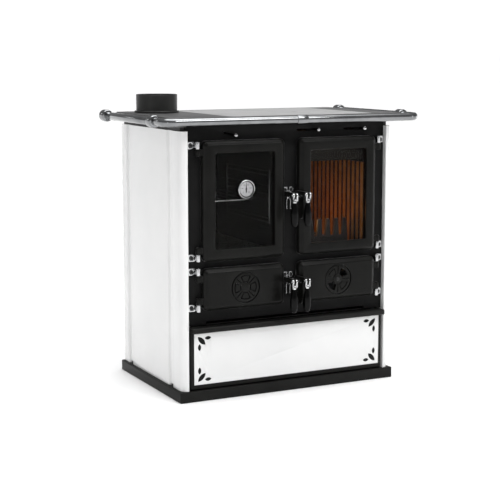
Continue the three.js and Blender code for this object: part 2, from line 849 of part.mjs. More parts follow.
// The soot door's cast rosette: a ring, a boss, four diagonal spokes and four pads, all in relief.
function sootDoor() {
  const casting = mirrored(join(
    doorCasting(lowerDoorBottom, lowerDoorTop, lowerPocketFloor, lowerHinge),
    latchBracket(lowerLatchZ, false),
  ));
  const x = -doorCentreX;
  const proud = doorFace + 1;
  const ring = roundHole(x, rosetteZ, rosetteRadius - 2);
  ring.holes.push(roundHole(x, rosetteZ, rosetteRadius - 7));
  const relief = [
    frontPlate(ring, proud, recessFloor + 1, rosetteSteps),
    frontPlate(roundHole(x, rosetteZ, sectorInner - 5), proud, recessFloor + 1, 6),
  ];
  for (let i = 0; i < 4; i += 1) {
    const turn = (i * Math.PI) / 2;
    const spoke = sector(x, rosetteZ, sectorInner - 8, rosetteRadius - 6, turn + Math.PI / 4, 0.09);
    const pad = sector(x, rosetteZ, sectorInner + 4, sectorOuter, turn, sectorHalfAngle);
    relief.push(frontPlate(spoke, proud, recessFloor + 1, 1));
    relief.push(frontPlate(pad, proud + 2, recessFloor + 1, 2));
  }
  return join(cut(casting, rosetteRecess(x)), relief);
}

// The two openings that the ash door and its air register share when the register is open.
const airOpenings = (x) => [0.25, 1.25].map(
  (turns) => sector(x, rosetteZ, sectorInner, sectorOuter, turns * Math.PI, sectorHalfAngle),
);

function ashDoor() {
  const casting = doorCasting(lowerDoorBottom, lowerDoorTop, lowerPocketFloor, lowerHinge);
  const x = doorCentreX;
  const through = airOpenings(x).map((hole) => frontPlate(hole, doorFace, lowerPocketFloor + 1, 3));
  const screwHole = rod(
    [x, recessFloor - 1, rosetteZ], [x, lowerPocketFloor + 1, rosetteZ], registerScrewRadius + seat, 12,
  );
  return join(
    cut(casting, rosetteRecess(x), through, screwHole), latchBracket(lowerLatchZ, true),
  );
}

// The rotary air register: a disc with two openings, two blind pads and four ribs.
function airRegister() {
  const x = doorCentreX;
  const back = recessFloor - seat;
  const front = back - registerThickness;
  const disc = roundHole(x, rosetteZ, rosetteRadius - registerClearance);
  disc.holes.push(...airOpenings(x), roundHole(x, rosetteZ, registerScrewRadius + pintleClearance));
  const face = front + 2;
  const relief = [];
  const rim = roundHole(x, rosetteZ, rosetteRadius - registerClearance);
  rim.holes.push(roundHole(x, rosetteZ, rosetteRadius - registerClearance - 5));
  relief.push(frontPlate(rim, front, face + 0.5, rosetteSteps));
  for (let i = 0; i < 4; i += 1) {
    const spoke = sector(x, rosetteZ, sectorInner - 6, rosetteRadius - 5, (i * Math.PI) / 2, 0.09);
    relief.push(frontPlate(spoke, front, face + 0.5, 1));
  }
  for (const turns of [0.75, 1.75]) {
    const pad = sector(x, rosetteZ, sectorInner, sectorOuter, turns * Math.PI, sectorHalfAngle);
    relief.push(frontPlate(pad, front + 0.5, face + 0.5, 2));
  }
  return join(frontPlate(disc, face, back, rosetteSteps), relief);
}

function registerScrew() {
  const front = recessFloor - seat - registerThickness - seat;
  return turned([
    [0, front - 2.6], [4, front - 2.6], [6, front - 1], [6, front + 1.8],
    [registerScrewRadius, front + 1.8], [registerScrewRadius, lowerPocketFloor - 1],
    [0, lowerPocketFloor - 1],
  ], pinSides, 'y', doorCentreX, 0, rosetteZ);
}

// ---------------------------------------------------------------- hinges

// A right-hand hinge bracket: a flange bolted to the front plate, an arm, a barrel, and a pintle that
// enters the door's lug from above or from below.
function hingeBracket(z, pinFrom, pinTo) {
  const flangeX = hingeX + hingeArm;
  const rear = plateFront - seat;
  const face = rear - bracketThickness;
  const top = z + bracketHeight;
  const bolt = turned([
    [0, face - boltHeight], [boltRadius - 1.5, face - boltHeight],
    [boltRadius, face + 1], [0, face + 1],
  ], 8, 'y', flangeX + bracketFlange / 2, 0, z + bracketHeight / 2);
  return join(
    box(flangeX, flangeX + bracketFlange, face, rear, z, top),
    box(hingeX, flangeX + 4, hingeY, rear, z + 4, top - 4),
    rod([hingeX, hingeY, z], [hingeX, hingeY, top], barrelRadius, 12),
    rod([hingeX, hingeY, pinFrom], [hingeX, hingeY, pinTo], pintleRadius, pinSides),
    bolt,
  );
}

const topBracket = (hinge) => hingeBracket(hinge.upperBracket, hinge.upperLug, hinge.upperBracket + 1);
const bottomBracket = (hinge) => {
  const from = hinge.lowerBracket + bracketHeight - 1;
  return hingeBracket(hinge.lowerBracket, from, hinge.lowerLug + lugHeight);
};

// ---------------------------------------------------------------- latches

// A latch lever: a fork round the bracket's eye, a ferrule and spindle for the grip, and a tongue
// that reaches back beside the keeper.
function latchLever(z) {
  const ear = join(
    rod([0, latchPivotY, z], [earThickness, latchPivotY, z], latchArmHalf, 12),
    box(0, earThickness, latchPivotY - earHalf, latchPivotY + earHalf, z - bridgeBottom, z),
  );
  const earAt = (x) => solid(toGeometry(ear).translate(x, 0, 0));
  const tongueEnd = plateFront - 7.5;
  const tongueX = innerEarX + tongueThickness;
  const body = join(
    earAt(innerEarX),
    earAt(outerEarX),
    box(
      innerEarX, outerEarX + earThickness, latchPivotY - earHalf, latchPivotY + earHalf,
      z - bridgeBottom, z - bridgeTop,
    ),
    box(innerEarX, tongueX, latchPivotY, tongueEnd, z - 10, z - 2),
    box(innerEarX - 3, tongueX, tongueEnd - 2.5, tongueEnd, z - 10, z - 2),
    turned([
      [0, z - bridgeBottom + 1], [ferruleRadius - 1, z - bridgeBottom + 1],
      [ferruleRadius, z - bridgeBottom - 2], [ferruleRadius - 1.2, z - ferruleEnd], [0, z - ferruleEnd],
    ], 12, 'z', latchMiddleX, latchPivotY, 0),
    rod(
      [latchMiddleX, latchPivotY, z - ferruleEnd + 1],
      [latchMiddleX, latchPivotY, z - ferruleEnd - gripLength + 1], spindleRadius, 8,
    ),
  );
  const pinHole = rod(
    [innerEarX - 1, latchPivotY, z], [outerEarX + earThickness + 1, latchPivotY, z],
    latchPinRadius + latchPinClearance, pinSides,
  );
  return cut(body, pinHole);
}

// The black grip: a long turned spindle, widest a little below its middle.
function latchGrip(z) {
  const top = z - ferruleEnd - seat;
  const bore = spindleRadius + 2 * seat;
  const profile = [[bore, 0], [0.42 * gripRadius, 0]];
  const bands = [[0.12, 0.5], [0.28, 0.7], [0.44, 0.9], [0.6, 1], [0.78, 0.93], [0.92, 0.7]];
  for (const [share, width] of bands) profile.push([width * gripRadius, -share * gripLength]);
  profile.push([0.42 * gripRadius, -gripLength], [bore, -gripLength], [bore, 0]);
  return turned(profile, 10, 'z', latchMiddleX, latchPivotY, top);
}

// ---------------------------------------------------------------- thermometer

const thermometerZ = upperDoorTop - thermometerDrop;
const caseBack = glassFront - seat;
const caseFront = caseBack - thermometerDepth;
const dialFloor = caseFront + 5;

// The case is a shallow cup whose stem passes the glass into the oven, with a post for the pointer.
function thermometerCase() {
  return turned([
    [0, glassBack + 4], [thermometerStem, glassBack + 4], [thermometerStem, caseBack],
    [thermometerRadius, caseBack], [thermometerRadius, caseFront + 2], [thermometerRadius - 2, caseFront],
    [dialRadius + seat, caseFront], [dialRadius + seat, dialFloor], [1.2, dialFloor],
    [1.2, caseFront + 0.6], [0, caseFront + 0.6],
  ], 24, 'y', -doorCentreX, 0, thermometerZ);
}

// The pointer is balanced about its hub.
function thermometerPointer() {
  const x = -doorCentreX;
  const z = thermometerZ;
  const back = dialFloor - seat;
  const needle = new THREE.Shape();
  needle.moveTo(x - 1, z);
  needle.lineTo(x - 0.35, z + needleLength);
  needle.lineTo(x + 0.35, z + needleLength);
  needle.lineTo(x + 1, z);
  needle.lineTo(x + 2.2, z - needleTail);
  needle.lineTo(x - 2.2, z - needleTail);
  const hub = join(
    frontPlate(needle, back - 0.8, back),
    rod([x, back - 1.2, z], [x, back, z], needleHub, 16),
  );
  return cut(hub, rod([x, back - 2, z], [x, back + 1, z], 1.25, 16));
}

// The glass has a hole that the thermometer's stem passes.
function ovenGlass() {
  const bore = frontPlate(
    roundHole(-doorCentreX, thermometerZ, thermometerStem + seat), glassFront - 1, glassBack + 1, 8,
  );
  return cut(mirrored(doorGlass()), bore);
}

// ---------------------------------------------------------------- hob

const hobHalfWidth = bodyHalfWidth + hobSideOverhang;
const hobFront = frontY - hobFrontOverhang;
const hobRear = rearY - hobRearSetback;
const hobPlateLeft = hobPlateLeftMargin - hobHalfWidth;
const hobPlateRight = hobHalfWidth - hobPlateRightMargin;
const hobPlateFront = hobFront + hobPlateFrontMargin;
const hobPlateRear = hobRear - hobPlateRearMargin;
const ringX = hobPlateRight - ringSideMargin;
const ringY = hobPlateFront + ringFrontMargin;
const flueX = flueSideMargin - hobHalfWidth;
const flueY = hobRear - flueRearMargin;
const ringSides = 28;

function hobFrame() {
  const outline = roundedRect(-hobHalfWidth, hobHalfWidth, hobFront, hobRear, hobCorner);
  const slab = chamfered(outline, hobBottom, hobTop, hobChamfer, hobChamfer, new THREE.Matrix4());
  const inner = hobHalfWidth - skirtWidth;
  const skirt = cut(
    flatPlate(outline, hobBottom - skirtDrop, hobBottom + 4),
    box(-inner, inner, hobFront + skirtWidth, hobRear + 1, hobBottom - skirtDrop - 1, hobBottom + 5),
  );
  const rebate = roundedRect(hobPlateLeft, hobPlateRight, hobPlateFront, hobPlateRear, hobPlateCorner);
  const opening = roundedRect(
    hobPlateLeft + hobLedge, hobPlateRight - hobLedge,
    hobPlateFront + hobLedge, hobPlateRear - hobLedge, hobPlateCorner / 2,
  );
  const flueHole = turned([
    [0, -hobSlab - 1], [flueBore + 2, -hobSlab - 1], [flueBore + 2, 1], [0, 1],
  ], ringSides, 'z', flueX, flueY, hobTop);
  return cut(
    join(slab, skirt),
    flatPlate(rebate, hobTop - hobPlateDepth, hobTop + 1, 3),
    flatPlate(opening, hobBottom - 1, hobTop),
    flueHole,
  );
}

const plateUnderside = hobTop - hobPlateDepth + seat;
const ringLedge = hobTop - hobPlateDepth / 2;

// A stepped round well, and the stepped ring that hangs in it.
function well(radius) {
  return turned([
    [0, plateUnderside - 1], [radius - ringStep + ringGap, plateUnderside - 1],
    [radius - ringStep + ringGap, ringLedge - seat], [radius + ringGap, ringLedge - seat],
    [radius + ringGap, hobTop + 1], [0, hobTop + 1],
  ], ringSides, 'z', ringX, ringY, 0);
}

function hobPlate() {
  const outline = roundedRect(
    hobPlateLeft + ringGap, hobPlateRight - ringGap, hobPlateFront + ringGap, hobPlateRear - ringGap,
    hobPlateCorner - ringGap,
  );
  return cut(flatPlate(outline, plateUnderside, hobTop, 3), well(ringRadius));
}

function hobRing() {
  const blank = turned([
    [0, plateUnderside], [ringRadius - ringStep, plateUnderside], [ringRadius - ringStep, ringLedge],
    [ringRadius, ringLedge], [ringRadius, hobTop], [0, hobTop],
  ], ringSides, 'z', ringX, ringY, 0);
  return cut(blank, well(discRadius));
}

// The lid has a slot for the lifting tool.
function hobDisc() {
  const blank = turned([
    [0, plateUnderside], [discRadius - ringStep, plateUnderside], [discRadius - ringStep, ringLedge],
    [discRadius, ringLedge], [discRadius, hobTop], [0, hobTop],
  ], ringSides, 'z', ringX, ringY, 0);
  const lift = roundedRect(
    ringX - lidSlotFar, ringX - lidSlotNear, ringY - lidSlotHalf, ringY + lidSlotHalf, lidSlotHalf - 0.5,
  );
  return cut(blank, flatPlate(lift, hobTop - lidSlotDepth, hobTop + 1));
}

function flueCollar() {
  const base = hobTop + seat;
  const spigotOuter = flueBore + 1;
  const outer = flueBore + flueWall;
  return turned([
    [flueBore, hobTop - flueSpigot], [spigotOuter, hobTop - flueSpigot], [spigotOuter, base],
    [flueBore + flueFlange, base], [flueBore + flueFlange, base + flueFlangeHeight],
    [outer, base + flueFlangeHeight], [outer, hobTop + flueHeight - 1],
    [outer - 1, hobTop + flueHeight], [flueBore, hobTop + flueHeight],
    [flueBore, hobTop - flueSpigot],
  ], ringSides, 'z', flueX, flueY, 0);
}

// ---------------------------------------------------------------- hand rail

const railZ = hobTop - railDrop;
const railFrontY = hobFront - railFrontReach;
const railHalfWidth = hobHalfWidth + railSideReach;
const railFrontFittingY = hobFront + railFrontFittingSetback;
const railRearFittingY = hobRear - railRearFittingSetback;
const railSides = 12;

// A bent tube's centre line, held as stations with their directions, so that the bends get the
// stations and the straight runs get none.
class RailLine extends THREE.Curve {
  constructor(stations) {
    super();
    this.stations = stations;
  }

  station(share) {
    return this.stations[Math.round(share * (this.stations.length - 1))];
  }

  getPointAt(share, target = new THREE.Vector3()) {
    return target.copy(this.station(share).point);
  }

  getTangentAt(share, target = new THREE.Vector3()) {
    return target.copy(this.station(share).direction);
  }
}

function railStation(x, y, direction) {
  return { point: new THREE.Vector3(x, y, railZ), direction: new THREE.Vector3(...direction) };
}

// A barrel fitting on a stub that stands out from the hob's right-hand edge.
function railFitting(y) {
  const half = fittingLength / 2;
  const barrel = turned([
    [0, -half], [fittingRadius - 3, -half], [fittingRadius, -half + 3], [fittingRadius, half - 3],
    [fittingRadius - 3, half], [0, half],
  ], 16, 'y', railHalfWidth, y, railZ);
  return join(
    barrel, rod([hobHalfWidth + seat, y, railZ], [railHalfWidth, y, railZ], fittingStub, 10),
  );
}

// The front tube runs round both bends between the two front fittings, whose rear halves are bored
// for the side tubes. A sleeve covers its joint in the middle.
function railFront() {
  const bendSteps = 5;
  const bend = (centreX, startAngle) => Array.from({ length: bendSteps + 1 }, (_, i) => {
    const angle = startAngle + (i / bendSteps) * (Math.PI / 2);
    return railStation(
      centreX + railBend * Math.cos(angle), railFrontY + railBend + railBend * Math.sin(angle),
      [-Math.sin(angle), Math.cos(angle), 0],
    );
  });
  const stations = [
    railStation(-railHalfWidth, railFrontFittingY, [0, -1, 0]),
    ...bend(-railHalfWidth + railBend, Math.PI),
    ...bend(railHalfWidth - railBend, 1.5 * Math.PI),
    railStation(railHalfWidth, railFrontFittingY, [0, 1, 0]),
  ];
  const section = new THREE.Shape();
  section.absarc(0, 0, railRadius, 0, 2 * Math.PI);
  const tube = solid(new THREE.ExtrudeGeometry(section, {
    steps: stations.length - 1, extrudePath: new RailLine(stations), curveSegments: railSides / 2,
  }));
  const bore = rod(
    [railHalfWidth, railFrontFittingY, railZ],
    [railHalfWidth, railFrontFittingY + fittingLength, railZ], railRadius + 2 * seat, 14,
  );
  const sleeve = rod(
    [sleeveLeft, railFrontY, railZ], [sleeveLeft + sleeveLength, railFrontY, railZ],
    railRadius + sleeveWall, 14,
  );
  return join(tube, bothSides(cut(railFitting(railFrontFittingY), bore)), sleeve);
}

// The right-hand side tube with its rear fitting; its front end sits in the front fitting's bore.
function railSide() {
  const tube = rod(
    [railHalfWidth, railFrontFittingY + seat, railZ], [railHalfWidth, railRearFittingY, railZ],
    railRadius, railSides,
  );
  return join(tube, railFitting(railRearFittingY));
}

// ---------------------------------------------------------------- oven and fire

function ovenBox() {
  const wall = liningWall;
  return openBox(
    -cavityOuterX - wall, -cavityInnerX + wall, behindPlate, ovenRear + wall,
    ovenFloor - wall, ovenRoof + wall, wall, false, true,
  );
}

const rackFront = frontY + rackSetback;
const rackRear = rackFront + rackLength;
const rackFoot = ovenFloor + rackFootHeight;
const rungHeights = rungRises.map((rise) => rackFoot + rise);
const linerRear = fireboxRear - linerRearGap;
const grateFront = frontY + grateSetback;
const grateRear = linerRear - grateRearGap;
const grateHalfWidth = (cavityOuterX - cavityInnerX) / 2 - grateSideGap;
const gratePitch = 2 * (grateHalfWidth - grateSlotMargin) / (grateSlotCount - 1);
const guardPitch = 2 * (grateHalfWidth - guardToothMargin) / (guardToothCount - 1);
const deflectorBottom = upperDoorTop - mouthInset - deflectorHeight;
const linerHeight = deflectorBottom - linerHeadGap - fireRest;

// A wire ladder on the oven's side wall; the shelf rests on one of its rungs.
function ovenRack(x) {
  const wires = [rackFront, rackRear].map(
    (y) => rod([x, y, rackFoot], [x, y, rackFoot + rackHeight], wireRadius, 6),
  );
  for (const z of rungHeights) {
    wires.push(rod([x, rackFront, z], [x, rackRear, z], wireRadius - 0.2, 6));
  }
  return join(wires);
}

function ovenShelf() {
  const z = rungHeights[shelfRung] + wireRadius + seat + wireRadius;
  const left = -cavityOuterX + wireRadius + seat;
  const right = -cavityInnerX - wireRadius - seat;
  const front = rackFront + 2 * wireRadius + 1;
  const rear = rackRear - 2 * wireRadius - 1;
  const wires = [front, rear].map((y) => rod([left, y, z], [right, y, z], wireRadius, 6));
  const lastX = left + 2 * wireRadius + 2;
  const span = right - left - 4 * wireRadius - 4;
  const pitch = Math.min(shelfPitch, span / (shelfCount - 1));
  for (let i = 0; i < shelfCount; i += 1) {
    const x = lastX + i * pitch;
    wires.push(rod([x, front, z], [x, rear, z], shelfWireRadius, 6));
  }
  return join(wires);
}

function fireboxCasing() {
  const wall = liningWall;
  const casing = openBox(
    cavityInnerX - wall, cavityOuterX + wall, behindPlate, fireboxRear + wall,
    fireFloor - wall, fireboxTop, wall, true, true,
  );
  const halfHole = grateHalfWidth - floorLedge;
  const hole = box(
    doorCentreX - halfHole, doorCentreX + halfHole,
    grateFront + floorLedge, grateRear - floorLedge, fireFloor - wall - 1, fireFloor + 1,
  );
  return cut(casing, hole);
}

// A liner slab's plan: a flat back and a row of half-round ribs.
function ribbedSlab(length, count) {
  const shape = new THREE.Shape();
  shape.moveTo(0, 0);
  shape.lineTo(0, length);
  shape.lineTo(linerThickness, length);
  for (let i = count - 1; i >= 0; i -= 1) {
    const middle = length / 2 + (i - (count - 1) / 2) * linerPitch;
    shape.absarc(linerThickness - 1, middle, linerRib, Math.PI / 2, -Math.PI / 2, true);
  }
  shape.lineTo(linerThickness, 0);
  return shape;
}

// The refractory lining: ribbed walls at both sides joined by a plain back, on the firebox floor.
function liner() {
  const length = linerRear - deckFront;
  const slab = flatPlate(ribbedSlab(length, linerCount), fireRest, fireRest + linerHeight);
  const left = solid(toGeometry(slab).translate(cavityInnerX + seat, deckFront, 0));
  const right = solid(toGeometry(slab).rotateZ(Math.PI).translate(cavityOuterX - seat, linerRear, 0));
  const back = box(
    cavityInnerX + seat, cavityOuterX - seat, linerRear - 1, linerRear + linerBackThickness,
    fireRest, fireRest + linerHeight,
  );
  return join(left, right, back);
}

function grate() {
  const outline = roundedRect(
    doorCentreX - grateHalfWidth, doorCentreX + grateHalfWidth, grateFront, grateRear, 6,
  );
  for (let i = 0; i < grateSlotCount; i += 1) {
    const x = doorCentreX + (i - (grateSlotCount - 1) / 2) * gratePitch;
    outline.holes.push(slot(x, grateFront + grateRim, x, grateRear - grateRim, grateSlot / 2));
  }
  return flatPlate(outline, fireRest, fireRest + grateThickness, 1);
}

// The toothed guard along the grate's front edge keeps logs off the fire door's glass.
function fireGuard() {
  const foot = fireRest + guardFoot;
  const half = grateHalfWidth;
  const points = [[doorCentreX - half, fireRest], [doorCentreX + half, fireRest], [doorCentreX + half, foot]];
  for (let i = guardToothCount - 1; i >= 0; i -= 1) {
    const x = doorCentreX + (i - (guardToothCount - 1) / 2) * guardPitch;
    const root = guardToothWidth / 2;
    points.push([x + root, foot], [x + root - 2.5, foot + guardTooth]);
    points.push([x - root + 2.5, foot + guardTooth], [x - root, foot]);
  }
  points.push([doorCentreX - half, foot]);
  const rear = grateFront + 1;
  const outline = new THREE.Shape(points.map(([x, z]) => new THREE.Vector2(x, z)));
  return frontPlate(outline, rear - guardThickness, rear);
}

function flameDeflector() {
  const front = deckFront + deflectorSetback;
  const top = upperDoorTop - mouthInset;
  return box(
    cavityInnerX + seat, cavityOuterX - seat, front, front + deflectorThickness,
    deflectorBottom, top + fireboxHeadroom - deflectorRoofGap,
  );
}

function ashChamber() {
  const wall = liningWall;
  return openBox(
    cavityInnerX - wall, cavityOuterX + wall, behindPlate, fireboxRear + wall,
    chamberFloor, fireFloor - wall - seat, wall, true, true,
  );
}

function sootChamber() {
  const wall = liningWall;
  return openBox(
    -cavityOuterX - wall, -cavityInnerX + wall, behindPlate, ovenRear + wall,
    chamberFloor, ovenFloor - wall - seat, wall, true, true,
  );
}

function ashPan() {
  const floor = chamberFloor + liningWall + seat;
  return openBox(
    cavityInnerX + ashPanSideGap, cavityOuterX - ashPanSideGap,
    behindPlate + ashPanFrontGap, fireboxRear - ashPanRearGap,
    floor, floor + ashPanHeight, sheet, true, false,
  );
}

// ---------------------------------------------------------------- wood drawer

const drawerFace = frontY + drawerFrontProud;
const drawerFrontRear = drawerFace + drawerFrontDepth;
const enamelRear = drawerFace - seat;

// The drawer front is a shallow pan, open at the back.
function drawerFront() {
  const edge = drawerFrontSkin;
  return cut(
    box(-drawerHalfWidth, drawerHalfWidth, drawerFace, drawerFrontRear, drawerBottom, drawerTop),
    box(
      -drawerHalfWidth + edge, drawerHalfWidth - edge, drawerFace + edge, drawerFrontRear - sheet - seat,
      drawerBottom + edge, drawerTop - edge,
    ),
    box(
      -drawerHalfWidth + drawerFrontLipSide, drawerHalfWidth - drawerFrontLipSide,
      drawerFace + edge, drawerFrontRear + 1,
      drawerBottom + drawerFrontLip, drawerTop - drawerFrontLip,
    ),
  );
}

function leaf(x, z, length, width, angle) {
  const shape = new THREE.Shape();
  const reach = [Math.cos(angle) * (length / 2), Math.sin(angle) * (length / 2)];
  const bow = [-Math.sin(angle) * width, Math.cos(angle) * width];
  shape.moveTo(x - reach[0], z - reach[1]);
  shape.quadraticCurveTo(x - bow[0], z - bow[1], x + reach[0], z + reach[1]);
  shape.quadraticCurveTo(x + bow[0], z + bow[1], x - reach[0], z - reach[1]);
  return shape;
}

// The white enamelled panel, pierced by three leaves in each corner.
function drawerPanel() {
  const half = drawerHalfWidth - enamelSide;
  const bottom = drawerBottom + enamelFoot;
  const top = drawerTop - enamelHead;
  const outline = new THREE.Shape([
    new THREE.Vector2(-half, bottom), new THREE.Vector2(half, bottom),
    new THREE.Vector2(half, top), new THREE.Vector2(-half, top),
  ]);
  for (const side of [-1, 1]) {
    for (const [edge, inward] of [[bottom, 1], [top, -1]]) {
      const place = (across, up) => [side * (half - across), edge + inward * up];
      const diagonal = (Math.PI / 4) * -side * inward;
      outline.holes.push(
        leaf(...place(...leafPlaces.corner), leafLong, leafWidth, diagonal),
        leaf(...place(...leafPlaces.along), leafShort, leafNarrow, 0),
        leaf(...place(...leafPlaces.up), leafShort, leafNarrow, Math.PI / 2),
      );
    }
  }
  return frontPlate(outline, enamelRear - sheet, enamelRear, 4);
}

// The bar along the drawer's top, hollow underneath for the fingers that pull it.
function drawerBar() {
  const front = frontY - barProud;
  const rear = frontY + barRear;
  const section = new THREE.Shape([
    [front + 3, barBottom], [front + 3 + barSkin, barBottom], [front + 3 + barSkin, barTop - barSkin],
    [enamelRear - sheet - 2, barTop - barSkin], [enamelRear - sheet - 2, barBottom], [rear, barBottom],
    [rear, barTop], [front + 3, barTop], [front, barTop - 3], [front, barBottom + 3],
  ].map(([y, z]) => new THREE.Vector2(y, z)));
  return sidePlate(section, -drawerHalfWidth, drawerHalfWidth);
}

function drawerBox() {
  return openBox(
    -drawerBoxHalfWidth, drawerBoxHalfWidth, drawerFrontRear + seat, drawerBoxRear,
    drawerBoxBottom, drawerTop + drawerBoxTopGap, sheet, true, false,
  );
}

// ---------------------------------------------------------------- finishes and assembly

function finish(color, roughness, metalness) {
  return new THREE.MeshStandardMaterial({ color, roughness, metalness });
}
const whiteEnamel = finish(0xf1f0ee, 0.28, 0);
const blackPaint = finish(0x252523, 0.55, 0.2);
const plateIron = finish(0x1c1c1c, 0.6, 0.3);
const doorIron = finish(0x2a2a28, 0.55, 0.3);
const hobIron = finish(0x38393b, 0.4, 0.4);
const groundSteel = finish(0xb4b4b2, 0.35, 0.9);
const carcassSteel = finish(0x2b2b2c, 0.6, 0.4);
const chrome = finish(0xd9dadb, 0.12, 1);
const flueEnamel = finish(0x1f2022, 0.4, 0.3);
const ovenEnamel = finish(0x17171a, 0.35, 0.1);
const fireSteel = finish(0x202020, 0.7, 0.4);
const refractory = finish(0x6b4a33, 0.9, 0);
const clearGlass = new THREE.MeshStandardMaterial({
  color: 0x2a2a2c, roughness: 0.05, metalness: 0, transparent: true, opacity: 0.3,
});
const ropeFibre = finish(0x3a3936, 0.95, 0);
const gripBlack = finish(0x0c0c0c, 0.2, 0);
const pointerBlack = finish(0x161616, 0.5, 0);
const zincSteel = finish(0x9a9c9d, 0.45, 0.8);

const cookstove = new THREE.Group();

function add(name, piece, material) {
  const mesh = new THREE.Mesh(toGeometry(piece), material);
  mesh.name = name;
  cookstove.add(mesh);
}

add('plinth', plinth(), blackPaint);
add('side_panel_right', sidePanel(), whiteEnamel);
add('side_panel_left', mirrored(sidePanel()), whiteEnamel);
add('carcass', carcass(), carcassSteel);
add('rear_panel', rearPanel(), zincSteel);
add('front_plate', castFront(), plateIron);

add('hob_frame', hobFrame(), hobIron);
add('hob_plate', hobPlate(), groundSteel);
add('hob_ring', hobRing(), groundSteel);
add('hob_disc', hobDisc(), groundSteel);
add('flue_collar', flueCollar(), flueEnamel);
add('rail_front', railFront(), chrome);
add('rail_side_right', railSide(), chrome);
add('rail_side_left', mirrored(railSide()), chrome);

add('oven_box', ovenBox(), ovenEnamel);
add('oven_rack_left', ovenRack(-cavityOuterX + wireRadius + seat), chrome);
add('oven_rack_right', ovenRack(-cavityInnerX - wireRadius - seat), chrome);
add('oven_shelf', ovenShelf(), chrome);
add('firebox_casing', fireboxCasing(), fireSteel);
add('fire_liner', liner(), refractory);
add('fire_grate', join(grate(), fireGuard()), fireSteel);
add('flame_deflector', flameDeflector(), fireSteel);
add('ash_chamber', ashChamber(), fireSteel);
add('soot_chamber', sootChamber(), fireSteel);
add('ash_pan', ashPan(), zincSteel);

add('oven_door_frame', mirrored(glazedDoor(false)), doorIron);
add('oven_door_glass', ovenGlass(), clearGlass);
add('oven_door_rope', mirrored(doorRope()), ropeFibre);
add('fire_door_frame', glazedDoor(true), doorIron);
add('fire_door_glass', doorGlass(), clearGlass);
add('fire_door_rope', doorRope(), ropeFibre);
add('soot_door', sootDoor(), doorIron);
add('ash_door', ashDoor(), doorIron);
add('air_register', airRegister(), doorIron);
add('register_screw', registerScrew(), chrome);
add('thermometer_case', thermometerCase(), chrome);
add('thermometer_pointer', thermometerPointer(), pointerBlack);

const doorGear = [
  ['oven', upperHinge, upperLatchZ, mirrored],
  ['fire', upperHinge, upperLatchZ, (piece) => piece],
  ['soot', lowerHinge, lowerLatchZ, mirrored],
  ['ash', lowerHinge, lowerLatchZ, (piece) => piece],
];
for (const [door, hinge, latchZ, place] of doorGear) {
  add(`${door}_hinge_top`, place(topBracket(hinge)), chrome);
  add(`${door}_hinge_bottom`, place(bottomBracket(hinge)), chrome);
  add(`${door}_latch_lever`, place(latchLever(latchZ)), chrome);
  add(`${door}_latch_grip`, place(latchGrip(latchZ)), gripBlack);
}

add('bypass_knob', control(controls.bypass), chrome);
add('left_air_knob', control(controls.leftAir), chrome);
add('right_air_knob', control(controls.rightAir), chrome);

add('drawer_front', drawerFront(), blackPaint);
add('drawer_panel', drawerPanel(), whiteEnamel);
add('drawer_bar', drawerBar(), blackPaint);
add('drawer_box', drawerBox(), zincSteel);

export default cookstove;
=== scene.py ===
import math

import bpy
from mathutils import Matrix, Vector


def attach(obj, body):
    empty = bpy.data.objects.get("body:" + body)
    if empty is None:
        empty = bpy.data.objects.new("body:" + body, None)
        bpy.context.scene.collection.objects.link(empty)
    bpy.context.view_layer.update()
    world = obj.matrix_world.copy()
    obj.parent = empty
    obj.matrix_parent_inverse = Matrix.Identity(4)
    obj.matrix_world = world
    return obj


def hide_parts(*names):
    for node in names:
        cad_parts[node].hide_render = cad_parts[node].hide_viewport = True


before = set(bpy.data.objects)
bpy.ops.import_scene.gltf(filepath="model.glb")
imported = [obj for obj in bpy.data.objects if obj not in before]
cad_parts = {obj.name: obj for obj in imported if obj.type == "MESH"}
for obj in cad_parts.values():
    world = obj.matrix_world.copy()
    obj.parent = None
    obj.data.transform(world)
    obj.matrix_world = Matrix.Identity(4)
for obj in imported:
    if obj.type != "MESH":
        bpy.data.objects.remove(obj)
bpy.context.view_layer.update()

# ---------------- camera and studio
# The camera stands in front of the stove's left half at worktop height and looks a little down.
# A pale floor runs out under a sky that is bright overhead and dark lower down, so that chrome has
# something to mirror. Soft lights hang over the front and the top, one stands at each side, and two
# weak ones behind the corners draw the edges of the doors and of the left-hand rail.


def tuned(node, **values):
    """Sets the inputs of a shader node. An underscore stands for a space."""
    for socket, value in values.items():
        node.inputs[socket.replace("_", " ")].default_value = value
    return node


def wired(source, output, target, socket):
    """Links an output of one shader node to an input of another."""
    source.id_data.links.new(source.outputs[output], target.inputs[socket])


def ramped(node, *stops):
    """Gives a colour ramp its stops, each a place and a colour, the two ends first."""
    for i, (place, colour) in enumerate(stops):
        stop = node.color_ramp.elements[i] if i < 2 else node.color_ramp.elements.new(place)
        stop.position = place
        stop.color = (*colour, 1)


look_down, look_right = 8.646, 26.636
bpy.ops.object.camera_add(
    location=(-1.9063, -3.7632, 1.0528),
    rotation=(math.radians(90 - look_down), 0, math.radians(-look_right)),
)
camera = bpy.context.object
camera.name = "camera"
camera.data.sensor_width = 36
camera.data.lens = 94.18
bpy.context.scene.camera = camera
bpy.context.scene.view_settings.view_transform = "Standard"

floor_width = 600
bpy.ops.mesh.primitive_plane_add(size=floor_width, location=(0, 0, 0))
floor = bpy.context.object
floor.name = "studio_floor"
floor_paint = bpy.data.materials.new("floor_paint")
floor_paint.use_nodes = True
floor_shader = floor_paint.node_tree.nodes["Principled BSDF"]
tuned(floor_shader, Base_Color=(0.97, 0.97, 0.97, 1), Roughness=0.9)
floor.data.materials.append(floor_paint)

